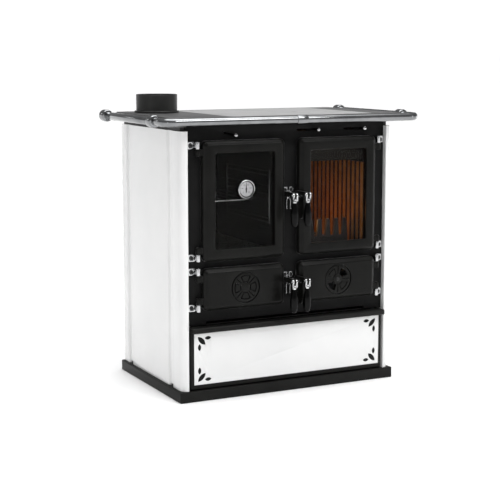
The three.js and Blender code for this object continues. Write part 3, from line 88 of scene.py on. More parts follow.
sky = bpy.data.worlds.new("studio_sky")
bpy.context.scene.world = sky
sky.use_nodes = True
sky_nodes = sky.node_tree.nodes
sky_place = sky_nodes.new("ShaderNodeTexCoord")
sky_height = sky_nodes.new("ShaderNodeSeparateXYZ")
sky_shade = sky_nodes.new("ShaderNodeValToRGB")
wired(sky_place, "Generated", sky_height, "Vector")
wired(sky_height, "Z", sky_shade, "Fac")
ramped(sky_shade, (0.045, (0.4, 0.4, 0.4)), (0.86, (1, 1, 1)), (0.1, (0.08, 0.08, 0.0808)),
       (0.5, (0.10, 0.10, 0.101)), (0.8, (0.16, 0.16, 0.1616)))
wired(sky_shade, "Color", sky_nodes["Background"], "Color")
tuned(sky_nodes["Background"], Strength=2.8)


def soft_light(name, place, aim, width, height, power):
    """A rectangular soft light that faces a point of the stove."""
    bpy.ops.object.light_add(type="AREA", location=place)
    lamp = bpy.context.object
    lamp.name = name
    lamp.data.shape = "RECTANGLE"
    lamp.data.size, lamp.data.size_y = width, height
    lamp.data.energy = power
    lamp.rotation_mode = "QUATERNION"
    lamp.rotation_quaternion = (Vector(aim) - Vector(place)).to_track_quat("-Z", "Y")


soft_light("front_light", (0.5, -2.5, 3.0), (0, 0, 0.4), 2.6, 0.8, 49)
soft_light("left_light", (-3.0, -1.6, 0.9), (0, 0, 0.5), 0.14, 1.7, 2.2)
soft_light("right_light", (2.8, -1.9, 0.9), (0, 0, 0.5), 0.3, 1.7, 4)
soft_light("rim_light", (3.1, 0.95, 0.3), (0, -0.25, 0.5), 0.4, 1.3, 5)
soft_light("rail_light", (-1.97, 3.5, 1.74), (-0.43, 0, 0.85), 0.8, 0.12, 1.4)
soft_light("top_light", (0.2, 0.2, 3.2), (0, 0, 0.8), 2.6, 0.6, 14)

# ---------------- plinth
# The plinth is a welded box of black-painted steel that stands on the floor and carries the whole
# stove. Its edges are ground round, and its paint is a satin heat-proof black.

mm = 0.001


def alone(piece):
    """Makes a piece the only one selected, and the one that the next tool works on."""
    bpy.ops.object.select_all(action="DESELECT")
    piece.select_set(True)
    bpy.context.view_layer.objects.active = piece


def named(name):
    """Names the new primitive and applies its place and size to its mesh."""
    piece = bpy.context.object
    piece.name = piece.data.name = name
    bpy.ops.object.transform_apply(location=True, rotation=True, scale=True)
    return piece


def slab(name, x0, x1, y0, y1, z0, z1):
    """A rectangular block between six faces, in millimetres."""
    middle = ((x0 + x1) / 2 * mm, (y0 + y1) / 2 * mm, (z0 + z1) / 2 * mm)
    bpy.ops.mesh.primitive_cube_add(size=1, location=middle)
    bpy.context.object.scale = ((x1 - x0) * mm, (y1 - y0) * mm, (z1 - z0) * mm)
    return named(name)


def pick_edges(piece, wanted):
    """Selects the edges whose two ends pass a test, and opens the piece for editing."""
    alone(piece)
    bpy.context.tool_settings.mesh_select_mode = (False, True, False)
    mesh = piece.data
    for corner in mesh.vertices:
        corner.select = False
    for face in mesh.polygons:
        face.select = False
    for edge in mesh.edges:
        start, end = (mesh.vertices[i].co / mm for i in edge.vertices)
        edge.select = wanted(start, end)
    bpy.ops.object.mode_set(mode="EDIT")


def round_corners(piece, axis, radius, segments=8):
    """Rounds the four corners of a block whose edges run along an axis, 0, 1 or 2."""
    others = [i for i in range(3) if i != axis]
    pick_edges(piece, lambda a, b: all(abs(a[i] - b[i]) < 0.01 for i in others))
    bpy.ops.mesh.bevel(offset=radius * mm, segments=segments, affect="EDGES")
    bpy.ops.object.mode_set(mode="OBJECT")
    return piece


def smooth(piece, angle=35):
    """Shades a piece smooth, apart from edges sharper than an angle in degrees."""
    alone(piece)
    bpy.ops.object.shade_smooth_by_angle(angle=math.radians(angle))
    return piece


def ease(piece, width, segments=2, angle=35):
    """Takes the sharpness off the edges, and smooths what is left."""
    alone(piece)
    worn = piece.modifiers.new("eased", "BEVEL")
    worn.width = width * mm
    worn.segments = segments
    worn.limit_method = "ANGLE"
    worn.angle_limit = math.radians(angle)
    worn.miter_outer = "MITER_ARC"
    bpy.ops.object.modifier_apply(modifier=worn.name)
    return smooth(piece)


def surface(name, dark, light, metal=0.0, gloss=(0.4, 0.5), patch=7, grain=900, depth=0.05,
            stretch=(1, 1, 1), edge=0.0, coat=0.0, shine=0.5):
    """A finish whose colour and gloss wander in patches under a fine relief, in millimetres."""
    material = bpy.data.materials.new(name)
    material.use_nodes = True
    nodes = material.node_tree.nodes
    shader = nodes["Principled BSDF"]
    place = nodes.new("ShaderNodeTexCoord")
    along = tuned(nodes.new("ShaderNodeMapping"), Scale=stretch)
    wired(place, "Object", along, "Vector")
    patches = tuned(nodes.new("ShaderNodeTexNoise"), Scale=patch, Detail=5)
    wired(along, "Vector", patches, "Vector")
    shade = nodes.new("ShaderNodeValToRGB")
    shade.name = "shade"
    ramped(shade, (0.32, dark), (0.68, light))
    wired(patches, "Fac", shade, "Fac")
    wired(shade, "Color", shader, "Base Color")
    grains = tuned(nodes.new("ShaderNodeTexNoise"), Scale=grain, Detail=3)
    wired(along, "Vector", grains, "Vector")
    polish = tuned(nodes.new("ShaderNodeMapRange"), From_Min=0.3, From_Max=0.7,
                   To_Min=gloss[0], To_Max=gloss[1])
    wired(grains, "Fac", polish, "Value")
    wired(polish, "Result", shader, "Roughness")
    relief = tuned(nodes.new("ShaderNodeBump"), Distance=depth * mm)
    relief.name = "relief"
    wired(grains, "Fac", relief, "Height")
    if edge:
        rounding = tuned(nodes.new("ShaderNodeBevel"), Radius=edge * mm)
        rounding.samples = 6
        wired(rounding, "Normal", relief, "Normal")
    wired(relief, "Normal", shader, "Normal")
    tuned(shader, Metallic=metal, Specular_IOR_Level=shine, Coat_Weight=coat, Coat_Roughness=0.08)
    return material


def painted(piece, material):
    """Gives a piece, or a part of one, a single material."""
    piece.data.materials.clear()
    piece.data.materials.append(material)
    return piece


def finished(piece, material, slot_name, body, *nodes):
    """Gives a piece its finish, the body that it moves with, and the CAD nodes it stands for."""
    if material is not None:
        painted(piece, material)
    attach(piece, body)
    if nodes:
        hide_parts(*nodes)
    return piece


satin_black = surface("satin_black", (0.009, 0.009, 0.0085), (0.014, 0.014, 0.013),
                      gloss=(0.36, 0.5), patch=9, depth=0.03, shine=0.1)

plinth_side, plinth_end, plinth_top = 376, 247, 33
plinth = slab("plinth_slab", -plinth_side, plinth_side, -plinth_end, plinth_end, 0, plinth_top)
round_corners(plinth, 2, 5, 4)
ease(plinth, 2.5, 3, 50)
finished(plinth, satin_black, "black_paint", "root", "plinth")

# ---------------- side panels
# Each side is one steel sheet, folded round the rear edge, pressed into two upright channels, rolled
# round the front corner and turned back beside the front plate. It is enamelled gloss white, and
# each channel has a small vent notch at its foot.


def drawn_line(name, points):
    """A line drawn by extruding one point along a list of [x, y, z] places, in millimetres."""
    bpy.ops.mesh.primitive_plane_add(size=mm, location=(0, 0, 0))
    line = named(name)
    bpy.ops.object.mode_set(mode="EDIT")
    bpy.ops.mesh.select_mode(type="VERT")
    bpy.ops.mesh.select_all(action="SELECT")
    bpy.ops.mesh.merge(type="CENTER")
    here = Vector(points[0])
    bpy.ops.transform.translate(value=here * mm)
    for point in points[1:]:
        step = (Vector(point) - here) * mm
        bpy.ops.mesh.extrude_vertices_move(TRANSFORM_OT_translate={"value": step})
        here = Vector(point)
    return line


def pushed(x, y, z=0):
    """Pushes what is chosen out, in millimetres, with a skin behind it."""
    bpy.ops.mesh.extrude_region_move(TRANSFORM_OT_translate={"value": (x * mm, y * mm, z * mm)})


def skin_out():
    """Turns the whole skin to face out, and ends the editing."""
    bpy.ops.mesh.select_all(action="SELECT")
    bpy.ops.mesh.normals_make_consistent(inside=False)
    bpy.ops.object.mode_set(mode="OBJECT")


def other_side(piece, name):
    """A copy of a piece on the other side of the centre line."""
    twin = piece.copy()
    twin.data = piece.data.copy()
    twin.name = twin.data.name = name
    bpy.context.scene.collection.objects.link(twin)
    twin.data.transform(Matrix.Scale(-1, 4, (1, 0, 0)))
    twin.data.flip_normals()
    return twin


def on_both_sides(right, left_name, material, slot_name, nodes=(), bodies=("root", "root")):
    """Finishes a right-hand piece and its twin on the left, each with its body and its node."""
    left = other_side(right, left_name)
    finished(right, material, slot_name, bodies[0], *nodes[:1])
    finished(left, material, slot_name, bodies[1], *nodes[1:])


def carve(piece, *cutters):
    """Cuts other solids out of a piece, and removes them."""
    return combined(piece, "DIFFERENCE", cutters)


def weld(piece, *parts):
    """Joins other solids to a piece into one skin, and removes them."""
    return combined(piece, "UNION", parts)


def combined(piece, how, others):
    """Joins, cuts or crosses a piece with other solids, and removes them."""
    alone(piece)
    for other in others:
        joint = piece.modifiers.new("joint", "BOOLEAN")
        joint.operation = how
        joint.solver = "EXACT"
        joint.object = other
        bpy.ops.object.modifier_apply(modifier=joint.name)
        bpy.data.objects.remove(other)
    return piece


panel_foot, panel_top = 33.3, 819
panel_side, panel_rear, channel_floor = 366, 240, 361
corner_x, corner_y, corner_radius = 344, -218, 22
channel_middles = (182.5, -149.4)
panel_line = [(346, panel_rear), (panel_side, panel_rear)]
for middle in channel_middles:
    panel_line += [(panel_side, middle + 17), (channel_floor, middle + 13)]
    panel_line += [(channel_floor, middle - 13), (panel_side, middle - 17)]
for step in range(17):
    turn = step * math.pi / 32
    panel_line.append((corner_x + corner_radius * math.cos(turn),
                       corner_y - corner_radius * math.sin(turn)))
panel_line.append((corner_x, corner_y + 1))
right_panel = drawn_line("side_panel_right_sheet", [(x, y, panel_foot) for x, y in panel_line])
bpy.ops.mesh.select_all(action="SELECT")
pushed(0, 0, panel_top - panel_foot)
skin_out()
rear_flange = max(right_panel.data.polygons, key=lambda face: face.center.y)
if rear_flange.normal.y < 0:
    right_panel.data.flip_normals()
ease(right_panel, 1.6, 3, 20)
wall = right_panel.modifiers.new("wall", "SOLIDIFY")
wall.thickness = 2 * mm
wall.offset = -1
wall.use_even_offset = True
bpy.ops.object.modifier_apply(modifier=wall.name)
for middle in channel_middles:
    carve(right_panel, slab("notch", 350, 370, middle - 12, middle + 12, 30, 40.3))
smooth(right_panel)
white_enamel = surface("white_enamel", (0.775, 0.78, 0.78), (0.82, 0.82, 0.815),
                       gloss=(0.16, 0.24), patch=5, grain=260, depth=0.02, coat=0.6)
on_both_sides(right_panel, "side_panel_left_sheet", white_enamel, "white_enamel",
              ("side_panel_right", "side_panel_left"))

# ---------------- carcass and rear panel
# Behind the panels stands a welded black steel carcass with three decks. The rear is closed by one
# zinc-coated sheet with two rows of air slots, folded forward at its top. The CAD sheets show as
# they are, with their edges rounded by the finish.


def grey(shade):
    """A colour without a hue."""
    return (shade, shade, shade)


def dressed(material, *nodes):
    """Gives CAD nodes that show as they are a better finish."""
    for node in nodes:
        painted(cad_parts[node], material)


carcass_black = surface("carcass_black", grey(0.012), grey(0.022),
                        gloss=(0.45, 0.6), patch=12, grain=700, depth=0.04, edge=0.6)
dressed(carcass_black, "carcass")

zinc_coat = surface("zinc_coat", (0.37, 0.38, 0.39), (0.43, 0.44, 0.45), metal=0.85,
                    gloss=(0.34, 0.5), patch=40, grain=500, depth=0.02, edge=0.6)
zinc_nodes = zinc_coat.node_tree.nodes
spangle = tuned(zinc_nodes.new("ShaderNodeTexVoronoi"), Scale=95)
spangle_grey = zinc_nodes.new("ShaderNodeSeparateColor")
wired(zinc_nodes["Texture Coordinate"], "Object", spangle, "Vector")
wired(spangle, "Color", spangle_grey, "Color")
wired(spangle_grey, "Red", zinc_nodes["shade"], "Fac")
dressed(zinc_coat, "rear_panel")

# ---------------- front plate
# The front is one matt black iron casting: four mouths with sealing rims, three slots for the
# controls along the top, and an air notch along its foot. The plate is bolted to the carcass.


def rounded_block(name, x0, x1, y0, y1, z0, z1, axis, radius, segments=8):
    """A block whose four corners round an axis, 0, 1 or 2."""
    return round_corners(slab(name, x0, x1, y0, y1, z0, z1), axis, radius, segments)


def turned_about(piece, centre, axis, degrees):
    """Turns a piece's mesh about a point, in millimetres."""
    middle = Matrix.Translation(Vector(centre) * mm)
    turn = Matrix.Rotation(math.radians(degrees), 4, axis)
    piece.data.transform(middle @ turn @ middle.inverted())
    return piece


def shifted(piece, x, y, z):
    """Moves a piece's mesh, in millimetres."""
    piece.data.transform(Matrix.Translation(Vector((x, y, z)) * mm))
    return piece


plate_black = surface("plate_black", grey(0.006), grey(0.010),
                      gloss=(0.45, 0.6), patch=9, grain=1100, depth=0.06, shine=0.09)
front_casting = slab("front_plate_casting", -343.7, 343.7, -223, -215, 231, 845.7)
mouth_near, mouth_far, rim_width = 52.3, 272.5, 6
mouths = []
for side in (-1, 1):
    x0, x1 = sorted((side * mouth_near, side * mouth_far))
    for low, high, rim_front in ((454, 763, -238), (305.4, 379.4, -245.7)):
        rim = rounded_block("rim", x0 - rim_width, x1 + rim_width, rim_front, -222,
                            low - rim_width, high + rim_width, 1, 14)
        weld(front_casting, rim)
        mouths.append(rounded_block("mouth", x0, x1, -262, -200, low, high, 1, 8))
left_air_x, right_air_x, air_z = 98, 264, 813
air_slots = [
    rounded_block("slot", x - 67, x + 7, -230, -200, air_z - 3.5, air_z + 3.5, 1, 3.4, 6)
    for x in (left_air_x, right_air_x)
]
bypass_x, bypass_z, bypass_slope = -186, 803.5, 14.04
bypass_slot = rounded_block("slot", -222, -179, -230, -200, 800, 807, 1, 3.4, 6)
turned_about(bypass_slot, (bypass_x, 0, bypass_z), "Y", bypass_slope)
foot_notch = slab("notch", -279, 279, -230, -200, 225, 241)
carve(front_casting, *mouths, *air_slots, bypass_slot, foot_notch)
ease(front_casting, 0.8)
finished(front_casting, plate_black, "plate_iron", "root", "front_plate")

# ---------------- keepers
# Two chromed keepers are bolted to the pillar between the doors: a pair of square ears, each with a
# black bolt, a short neck, and a staple that the latch tongues catch behind.


def post(name, x, y, z0, z1, radius, sides=32):
    """An upright cylinder, in millimetres."""
    return bar(name, (x, y, z0), (x, y, z1), radius, sides)


def bar(name, start, end, radius, sides=32):
    """A cylinder between two points, in millimetres."""
    a, b = Vector(start) * mm, Vector(end) * mm
    bpy.ops.mesh.primitive_cylinder_add(
        vertices=sides, radius=radius * mm, depth=(b - a).length, location=(a + b) / 2,
    )
    rod = bpy.context.object
    rod.rotation_mode = "QUATERNION"
    rod.rotation_quaternion = (b - a).to_track_quat("Z", "Y")
    return named(name)


def peg(name, x, z, y0, y1, radius, sides=32):
    """A level cylinder that runs from front to back, in millimetres."""
    return bar(name, (x, y0, z), (x, y1, z), radius, sides)


def together(name, *parts):
    """Several parts as one piece, each with the materials that it has."""
    alone(parts[0])
    for part in parts:
        part.select_set(True)
    bpy.ops.object.join()
    parts[0].name = parts[0].data.name = name
    return parts[0]


chrome_plate = surface("chrome_plate", (0.20, 0.205, 0.21), (0.27, 0.275, 0.28), metal=1.0,
                       gloss=(0.05, 0.11), patch=25, depth=0.006)
fitting_chrome = surface("fitting_chrome", (0.46, 0.465, 0.47), (0.56, 0.565, 0.57), metal=1.0,
                         gloss=(0.12, 0.22), patch=25, depth=0.01)
bolt_black = surface("bolt_black", grey(0.010), grey(0.022), metal=0.4,
                     gloss=(0.35, 0.5), patch=60, grain=1500, depth=0.02)

upper_pivot, lower_pivot = 621, 356
keeper_parts = []
for pivot in (upper_pivot, lower_pivot):
    ears = []
    for side in (-1, 1):
        low, high = sorted((side * 3.5, side * 17))
        ear = rounded_block("ear", low, high, -227, -222.5, pivot + 1, pivot + 19, 1, 2.5, 4)
        middle = (low + high) / 2
        carve(ear, peg("hole", middle, pivot + 10, -230, -225.5, 5.2))
        ears.append(painted(ease(ear, 0.7), fitting_chrome))
        head = peg("head", middle, pivot + 10, -228.6, -225.2, 4.6, 6)
        ears.append(painted(ease(head, 0.5), bolt_black))
    neck = ease(slab("neck", -4.5, 4.5, -225.5, -222.5, pivot - 16, pivot + 9), 0.8)
    staple = rounded_block("staple", -9, 9, -231, -222.5, pivot - 70, pivot - 14, 1, 8.9, 12)
    carve(
        staple,
        rounded_block("inside", -4, 4, -240, -200, pivot - 80, pivot - 19, 1, 3.9, 10),
        slab("below", -20, 20, -240, -200, pivot - 90, pivot - 50),
    )
    ease(staple, 1.4, 3)
    keeper_parts += [painted(neck, fitting_chrome), painted(staple, fitting_chrome), *ears]
keepers = together("latch_keepers", *keeper_parts)
finished(keepers, None, "chrome", "root")

# ---------------- door castings
# Each door is an iron casting, painted charcoal, with a bevelled face and a hollow back that closes
# over the mouth's rim. Two lugs turn on the hinge pintles, and an arm on the free side carries the
# latch. The right-hand doors have a rounded gusset under that arm.

door_charcoal = surface("door_charcoal", (0.003, 0.003, 0.0026), (0.007, 0.007, 0.0062),
                        gloss=(0.24, 0.34), patch=8, grain=1000, depth=0.05, shine=0.12)
door_shader = door_charcoal.node_tree.nodes["Principled BSDF"]
tuned(door_shader, Sheen_Weight=0.35, Sheen_Roughness=0.22)
face_y, back_y = -258, -227
hinge_x, hinge_y, pin_y = 313.3, -242, -308.6


def door_blank(name, low, high, hollow, lugs, latch, gusset):
    """The casting of a right-hand door."""
    door = rounded_block(name, 25.3, 299.5, face_y + 10, back_y, low, high, 1, 16, 10)
    alone(door)
    bpy.context.tool_settings.mesh_select_mode = (False, False, True)
    for face in door.data.polygons:
        face.select = face.normal.y < -0.9
    bpy.ops.object.mode_set(mode="EDIT")
    bpy.ops.mesh.inset(thickness=12 * mm, depth=10 * mm)
    bpy.ops.object.mode_set(mode="OBJECT")
    ease(door, 2.2, 3, 30)
    carve(door, rounded_block("hollow", 33.3, 291.5, hollow, -200, low + 8, high - 8, 1, 8))
    for foot in lugs:
        lug = post("lug", hinge_x, hinge_y, foot, foot + 20, 7.5)
        web = slab("web", 297.5, hinge_x, -247.5, -237.5, foot + 0.6, foot + 19.4)
        weld(door, weld(ease(lug, 1.2), web))
        carve(door, post("bore", hinge_x, hinge_y, foot - 2, foot + 22, 4.05))
    arm = rounded_block("arm", 19.3, 25.6, -316.6, -229, latch - 8, latch + 8, 0, 7.9, 12)
    if gusset:
        weld(arm, rounded_block("gusset", 19.3, 25.6, -284, -229, latch - 78, latch, 0, 20, 10))
    weld(door, ease(arm, 0.9, 2, 50))
    return door


def latch_pin(name, latch):
    """The chromed pin that the latch lever of a right-hand door turns on."""
    return ease(bar(name, (12.3, pin_y, latch), (32.6, pin_y, latch), 3.5, 24), 0.8)


def glazed_door(name, gusset):
    """An upper door: the casting with its window, whose front edge is rounded off."""
    door = door_blank(name, 427, 790, -250, (745.7, 451.3), upper_pivot, gusset)
    carve(door, rounded_block("window", 62.3, 262.5, -270, -240, 464, 753, 1, 8, 8))
    pick_edges(door, lambda a, b: all(
        abs(p.y - face_y) < 0.05 and 60 < p.x < 265 and 462 < p.z < 755
        and (p.x < 71 or p.x > 254 or p.z < 473 or p.z > 744) for p in (a, b)
    ))
    bpy.ops.mesh.bevel(offset=3.6 * mm, segments=4, affect="EDGES")
    bpy.ops.object.mode_set(mode="OBJECT")
    return smooth(door)


def to_the_left(piece, name):
    """Takes a right-hand piece over to the left."""
    left = other_side(piece, name)
    bpy.data.objects.remove(piece)
    return left


fire_door = glazed_door("fire_door_casting", True)
oven_door = to_the_left(glazed_door("oven_door_right", False), "oven_door_casting")
finished(fire_door, door_charcoal, "door_iron", "fire_door", "fire_door_frame")
finished(oven_door, door_charcoal, "door_iron", "oven_door", "oven_door_frame")
upper_doors, lower_doors = ("fire_door", "oven_door"), ("ash_door", "soot_door")
on_both_sides(latch_pin("fire_latch_pin", upper_pivot), "oven_latch_pin", fitting_chrome,
              "chrome", bodies=upper_doors)

# ---------------- door glass and rope seals
# Each upper door holds a pane of clear ceramic glass, faintly smoked by use, in a hollow behind the
# window. A woven glass-fibre rope lies round the pane and seals against the mouth's rim.

clear_pane = surface("clear_pane", grey(0.010), (0.020, 0.018, 0.015),
                     gloss=(0.02, 0.05), patch=7, grain=120, depth=0.0, shine=0.25)
pane_nodes = clear_pane.node_tree.nodes
pane_sheen = tuned(pane_nodes.new("ShaderNodeLayerWeight"), Blend=0.25)
pane_veil = tuned(pane_nodes.new("ShaderNodeMapRange"), To_Min=0.10, To_Max=0.55)
wired(pane_sheen, "Fresnel", pane_veil, "Value")
wired(pane_veil, "Result", pane_nodes["Principled BSDF"], "Alpha")
dressed(clear_pane, "oven_door_glass", "fire_door_glass")

rope_weave = surface("rope_weave", (0.030, 0.028, 0.025), (0.075, 0.072, 0.066),
                     gloss=(0.85, 0.95), patch=160, depth=0.25)
rope_nodes = rope_weave.node_tree.nodes
strands = tuned(rope_nodes.new("ShaderNodeTexWave"), Scale=120, Distortion=1.5)
strands.bands_direction = "DIAGONAL"
wired(rope_nodes["Texture Coordinate"], "Object", strands, "Vector")
wired(strands, "Fac", rope_nodes["relief"], "Height")

fire_rope = rounded_block("fire_door_rope_seal", 44.3, 280.5, -249.7, -238.3, 446, 771, 1, 26, 10)
carve(fire_rope, rounded_block("pane", 54.3, 270.5, -260, -230, 456, 761, 1, 16, 10))
ease(fire_rope, 3.6, 5, 50)
on_both_sides(fire_rope, "oven_door_rope_seal", rope_weave, "rope_fibre",
              ("fire_door_rope", "oven_door_rope"), upper_doors)

# ---------------- soot door, ash door and rosettes
# The two lower doors are plain castings with a round recess. The soot door's rosette is cast in one
# with it. The ash door's is a loose disc that turns on a screw and opens two air holes.

rosette_x, rosette_z = 162.4, 342.4
rosette_centre = (rosette_x, 0, rosette_z)


def sector(name, inner, outer, middle, half, y0, y1):
    """Part of a ring round the rosette's centre, by its middle and half angle in degrees."""
    reach = rosette_x + (inner + outer) / 2
    bpy.ops.mesh.primitive_plane_add(
        size=1, location=(reach * mm, (y0 + y1) / 2 * mm, rosette_z * mm),
    )
    bpy.context.object.scale = ((outer - inner) * mm, (y1 - y0) * mm, 1)
    block = named(name)
    turned_about(block, rosette_centre, "Y", half - middle)
    bpy.ops.object.mode_set(mode="EDIT")
    bpy.ops.mesh.select_all(action="SELECT")
    bpy.ops.mesh.spin(
        steps=max(2, round(half / 3)), angle=math.radians(2 * half),
        center=(rosette_x * mm, 0, rosette_z * mm), axis=(0, 1, 0),
    )
    skin_out()
    return block


def rosette(name, radius, front, back, turn, depth):
    """A disc in relief: a rim, four pads in sector grooves, four narrow slots, and a round boss."""
    disc = peg(name, rosette_x, rosette_z, front, back, radius, 96)
    ease(disc, 0.7)
    cuts, pads = [], []
    for i in range(4):
        middle = turn + 90 * i
        cuts.append(sector("groove", 15.5, 37.5, middle, 27, front - 5, front + depth))
        pads.append(sector("pad", 18.4, 34.4, middle, 21, front + 0.4, front + depth + 0.8))
        thin = rounded_block(
            "thin", rosette_x + 15, rosette_x + 42, front - 5, front + depth,
            rosette_z - 1.5, rosette_z + 1.5, 1, 1.45, 4,
        )
        cuts.append(turned_about(thin, rosette_centre, "Y", -(middle + 45)))
    carve(disc, *cuts)
    weld(disc, *pads)
    boss = peg("boss", rosette_x, rosette_z, front - 0.2, front + 2, 11, 48)
    return weld(disc, ease(boss, 0.9, 3))


def lower_door(name, gusset):
    """A lower door: the casting with the round recess in its face."""
    door = door_blank(name, 278.4, 406.4, -246, (366.6, 298.2), lower_pivot, gusset)
    return carve(door, peg("recess", rosette_x, rosette_z, -270, -252, 48, 96))


def air_holes(piece):
    """Cuts two air holes and the screw's bore."""
    holes = [sector("air", 16.5, 36.5, middle, 26.4, -260, -240) for middle in (45, 225)]
    return carve(piece, *holes, peg("bore", rosette_x, rosette_z, -260, -240, 3.3, 24))


soot_disc = rosette("soot_disc", 44.6, -257.4, -251, 0, 5.4)
soot_right = together("soot_door_right", lower_door("soot_right", False), soot_disc)
soot_door = to_the_left(soot_right, "soot_door_casting")
finished(soot_door, door_charcoal, "door_iron", "soot_door", "soot_door")
ash_door = air_holes(lower_door("ash_door_casting", True))
finished(ash_door, door_charcoal, "door_iron", "ash_door", "ash_door")
register = air_holes(rosette("air_register_disc", 45.6, -256.6, -252.4, 45, 3.4))
finished(register, door_charcoal, "door_iron", "air_register", "air_register")
on_both_sides(latch_pin("ash_latch_pin", lower_pivot), "soot_latch_pin", fitting_chrome,
              "chrome", bodies=lower_doors)


def turned(name, profile, axis, centre, steps=64):
    """A piece spun from [radius, place along the axis] points, in millimetres; axis is 1 or 2."""
    x, y, z = centre
    if axis == 2:
        points = [(x + radius, y, z + height) for radius, height in profile]
    else:
        points = [(x + radius, y + height, z) for radius, height in profile]
    piece = drawn_line(name, points)
    bpy.ops.mesh.select_all(action="SELECT")
    direction = (0, 1, 0) if axis == 1 else (0, 0, 1)
    middle = (x * mm, y * mm, z * mm)
    bpy.ops.mesh.spin(steps=steps, angle=2 * math.pi, center=middle, axis=direction)
    bpy.ops.mesh.select_all(action="SELECT")
    bpy.ops.mesh.remove_doubles(threshold=0.002 * mm)
    skin_out()
    return smooth(piece, 30)


register_screw = turned("register_centre_screw", [
    (0, -259.5), (2.6, -259.3), (4.6, -258.6), (5.9, -257.4), (5.9, -256.9), (3, -256.9),
    (3, -246), (0, -246),
], 1, rosette_centre, 40)
driver_slot = slab("driver_slot", rosette_x - 7, rosette_x + 7, -261, -258.4,
                   rosette_z - 0.6, rosette_z + 0.6)
turned_about(driver_slot, rosette_centre, "Y", 35)
carve(register_screw, driver_slot)
smooth(register_screw, 30)
finished(register_screw, bolt_black, "carcass_steel", "ash_door", "register_screw")

# ---------------- hinges
# Every door hangs on two chromed brackets bolted to the front plate: a square flange with a black
# bolt, a short arm, a barrel, and a pintle that enters the door's lug from above or from below.


def hinge(name, foot, pin_from, pin_to):
    """A right-hand bracket whose foot is at one height, and its pintle between two others."""
    bolt_x, middle = 329, foot + 11
    flange = rounded_block("flange", 318, 340, -228, -223.3, foot, foot + 22, 1, 3, 5)
    ease(carve(flange, peg("seat", bolt_x, middle, -232, -226.6, 7.4)), 0.7)
    arm = ease(slab("arm", hinge_x, 321.5, -241, -223.4, foot + 4.5, foot + 17.5), 1.2)
    barrel = ease(post("barrel", hinge_x, hinge_y, foot, foot + 22, 6.5), 1.1, 3)
    pintle = ease(post("pintle", hinge_x, hinge_y, pin_from, pin_to, 3.95, 24), 0.5)
    bolt = turned("bolt", [
        (0, -229.2), (2.6, -229.2), (2.6, -231.4), (4.4, -231.4), (5.2, -230.6), (5.2, -226.4),
        (0, -226.4),
    ], 1, (bolt_x, 0, middle), 32)
    steel = [painted(part, fitting_chrome) for part in (flange, arm, barrel, pintle)]
    return together(name, *steel, painted(bolt, bolt_black))


hinge_places = [
    ("fire", "oven", "top", 766, 745.7, 767), ("fire", "oven", "bottom", 429, 450, 471.3),
    ("ash", "soot", "top", 386.9, 366.6, 387.9), ("ash", "soot", "bottom", 275.9, 296.9, 318.2),
]
for right_door, left_door, end, foot, pin_from, pin_to in hinge_places:
    bracket = hinge(f"{right_door}_hinge_bracket_{end}", foot, pin_from, pin_to)
    on_both_sides(bracket, f"{left_door}_hinge_bracket_{end}", None, "chrome",
                  (f"{right_door}_hinge_{end}", f"{left_door}_hinge_{end}"))

# ---------------- latches
# A latch is a chromed fork that turns on the door's pin. Its tongue reaches back to the keeper, and
# a long black moulded grip hangs from its ferrule, heavy enough to keep it shut.

grip_black = surface("grip_black", grey(0.001), grey(0.002),
                     gloss=(0.12, 0.2), patch=18, grain=800, depth=0.015, shine=0.12)


fork_near, fork_far, grip_x = 13.8, 31.1, 22.45
fork_front, fork_back = pin_y - 6, pin_y + 6


def latch_lever(name, pivot):
    """The fork, ferrule, spindle and tongue of a right-hand latch."""
    parts = []
    for low, high in ((fork_near, 18.8), (26.1, fork_far)):
        eye = bar("eye", (low, pin_y, pivot), (high, pin_y, pivot), 8, 40)
        ear = weld(eye, slab("leg", low, high, fork_front, fork_back, pivot - 17, pivot))
        carve(ear, bar("bore", (low - 1, pin_y, pivot), (high + 1, pin_y, pivot), 3.6, 24))
        parts.append(ease(ear, 1.0, 3, 40))
    bridge = rounded_block("bridge", fork_near, fork_far, fork_front, fork_back,
                           pivot - 17, pivot - 9.5, 2, 3.5, 5)
    parts.append(ease(bridge, 0.8))
    shank = ease(slab("shank", fork_near, 17.3, pin_y, -231.5, pivot - 10, pivot - 2), 0.7)
    hook = ease(slab("hook", 10.8, 17.3, -233, -230.5, pivot - 10, pivot - 2), 0.6)
    ferrule = turned("ferrule", [
        (0, pivot - 15), (6.4, pivot - 15), (7.1, pivot - 17), (7.2, pivot - 19.4),
        (6.6, pivot - 20), (6.6, pivot - 20.6), (7, pivot - 21.2), (6.6, pivot - 22.6),
        (0, pivot - 22.6),
    ], 2, (grip_x, pin_y, 0), 40)
    spindle = post("spindle", grip_x, pin_y, pivot - 95, pivot - 22, 3, 20)
    return together(name, *parts, shank, hook, ferrule, spindle)


def latch_grip(name, pivot):
    """The turned grip, fullest a little below its middle, with a blunt end."""
    top = pivot - 23
    outline = [
        (3.6, 0), (5.2, -0.2), (5.9, -1.2), (6.4, -4), (7.6, -8.5), (9.2, -14), (10.7, -20),
        (11.9, -27), (12.7, -34), (13, -41), (12.9, -48), (12.4, -54.5), (11.5, -60),
        (10.1, -65), (8.3, -69.2), (6.1, -72.2), (4.6, -73.2), (3.6, -73.4), (3.6, 0),
    ]
    return turned(name, [(r, top + z) for r, z in outline], 2, (grip_x, pin_y, 0), 48)


for right, left, pivot in (("fire", "oven", upper_pivot), ("ash", "soot", lower_pivot)):
    bodies = (f"{right}_latch", f"{left}_latch")
    fork = latch_lever(f"{right}_latch_fork", pivot)
    grip = latch_grip(f"{right}_latch_handle", pivot)
    on_both_sides(fork, f"{left}_latch_fork", fitting_chrome, "chrome",
                  [f"{body}_lever" for body in bodies], bodies)
    on_both_sides(grip, f"{left}_latch_handle", grip_black, "grip_plastic",
                  [f"{body}_grip" for body in bodies], bodies)

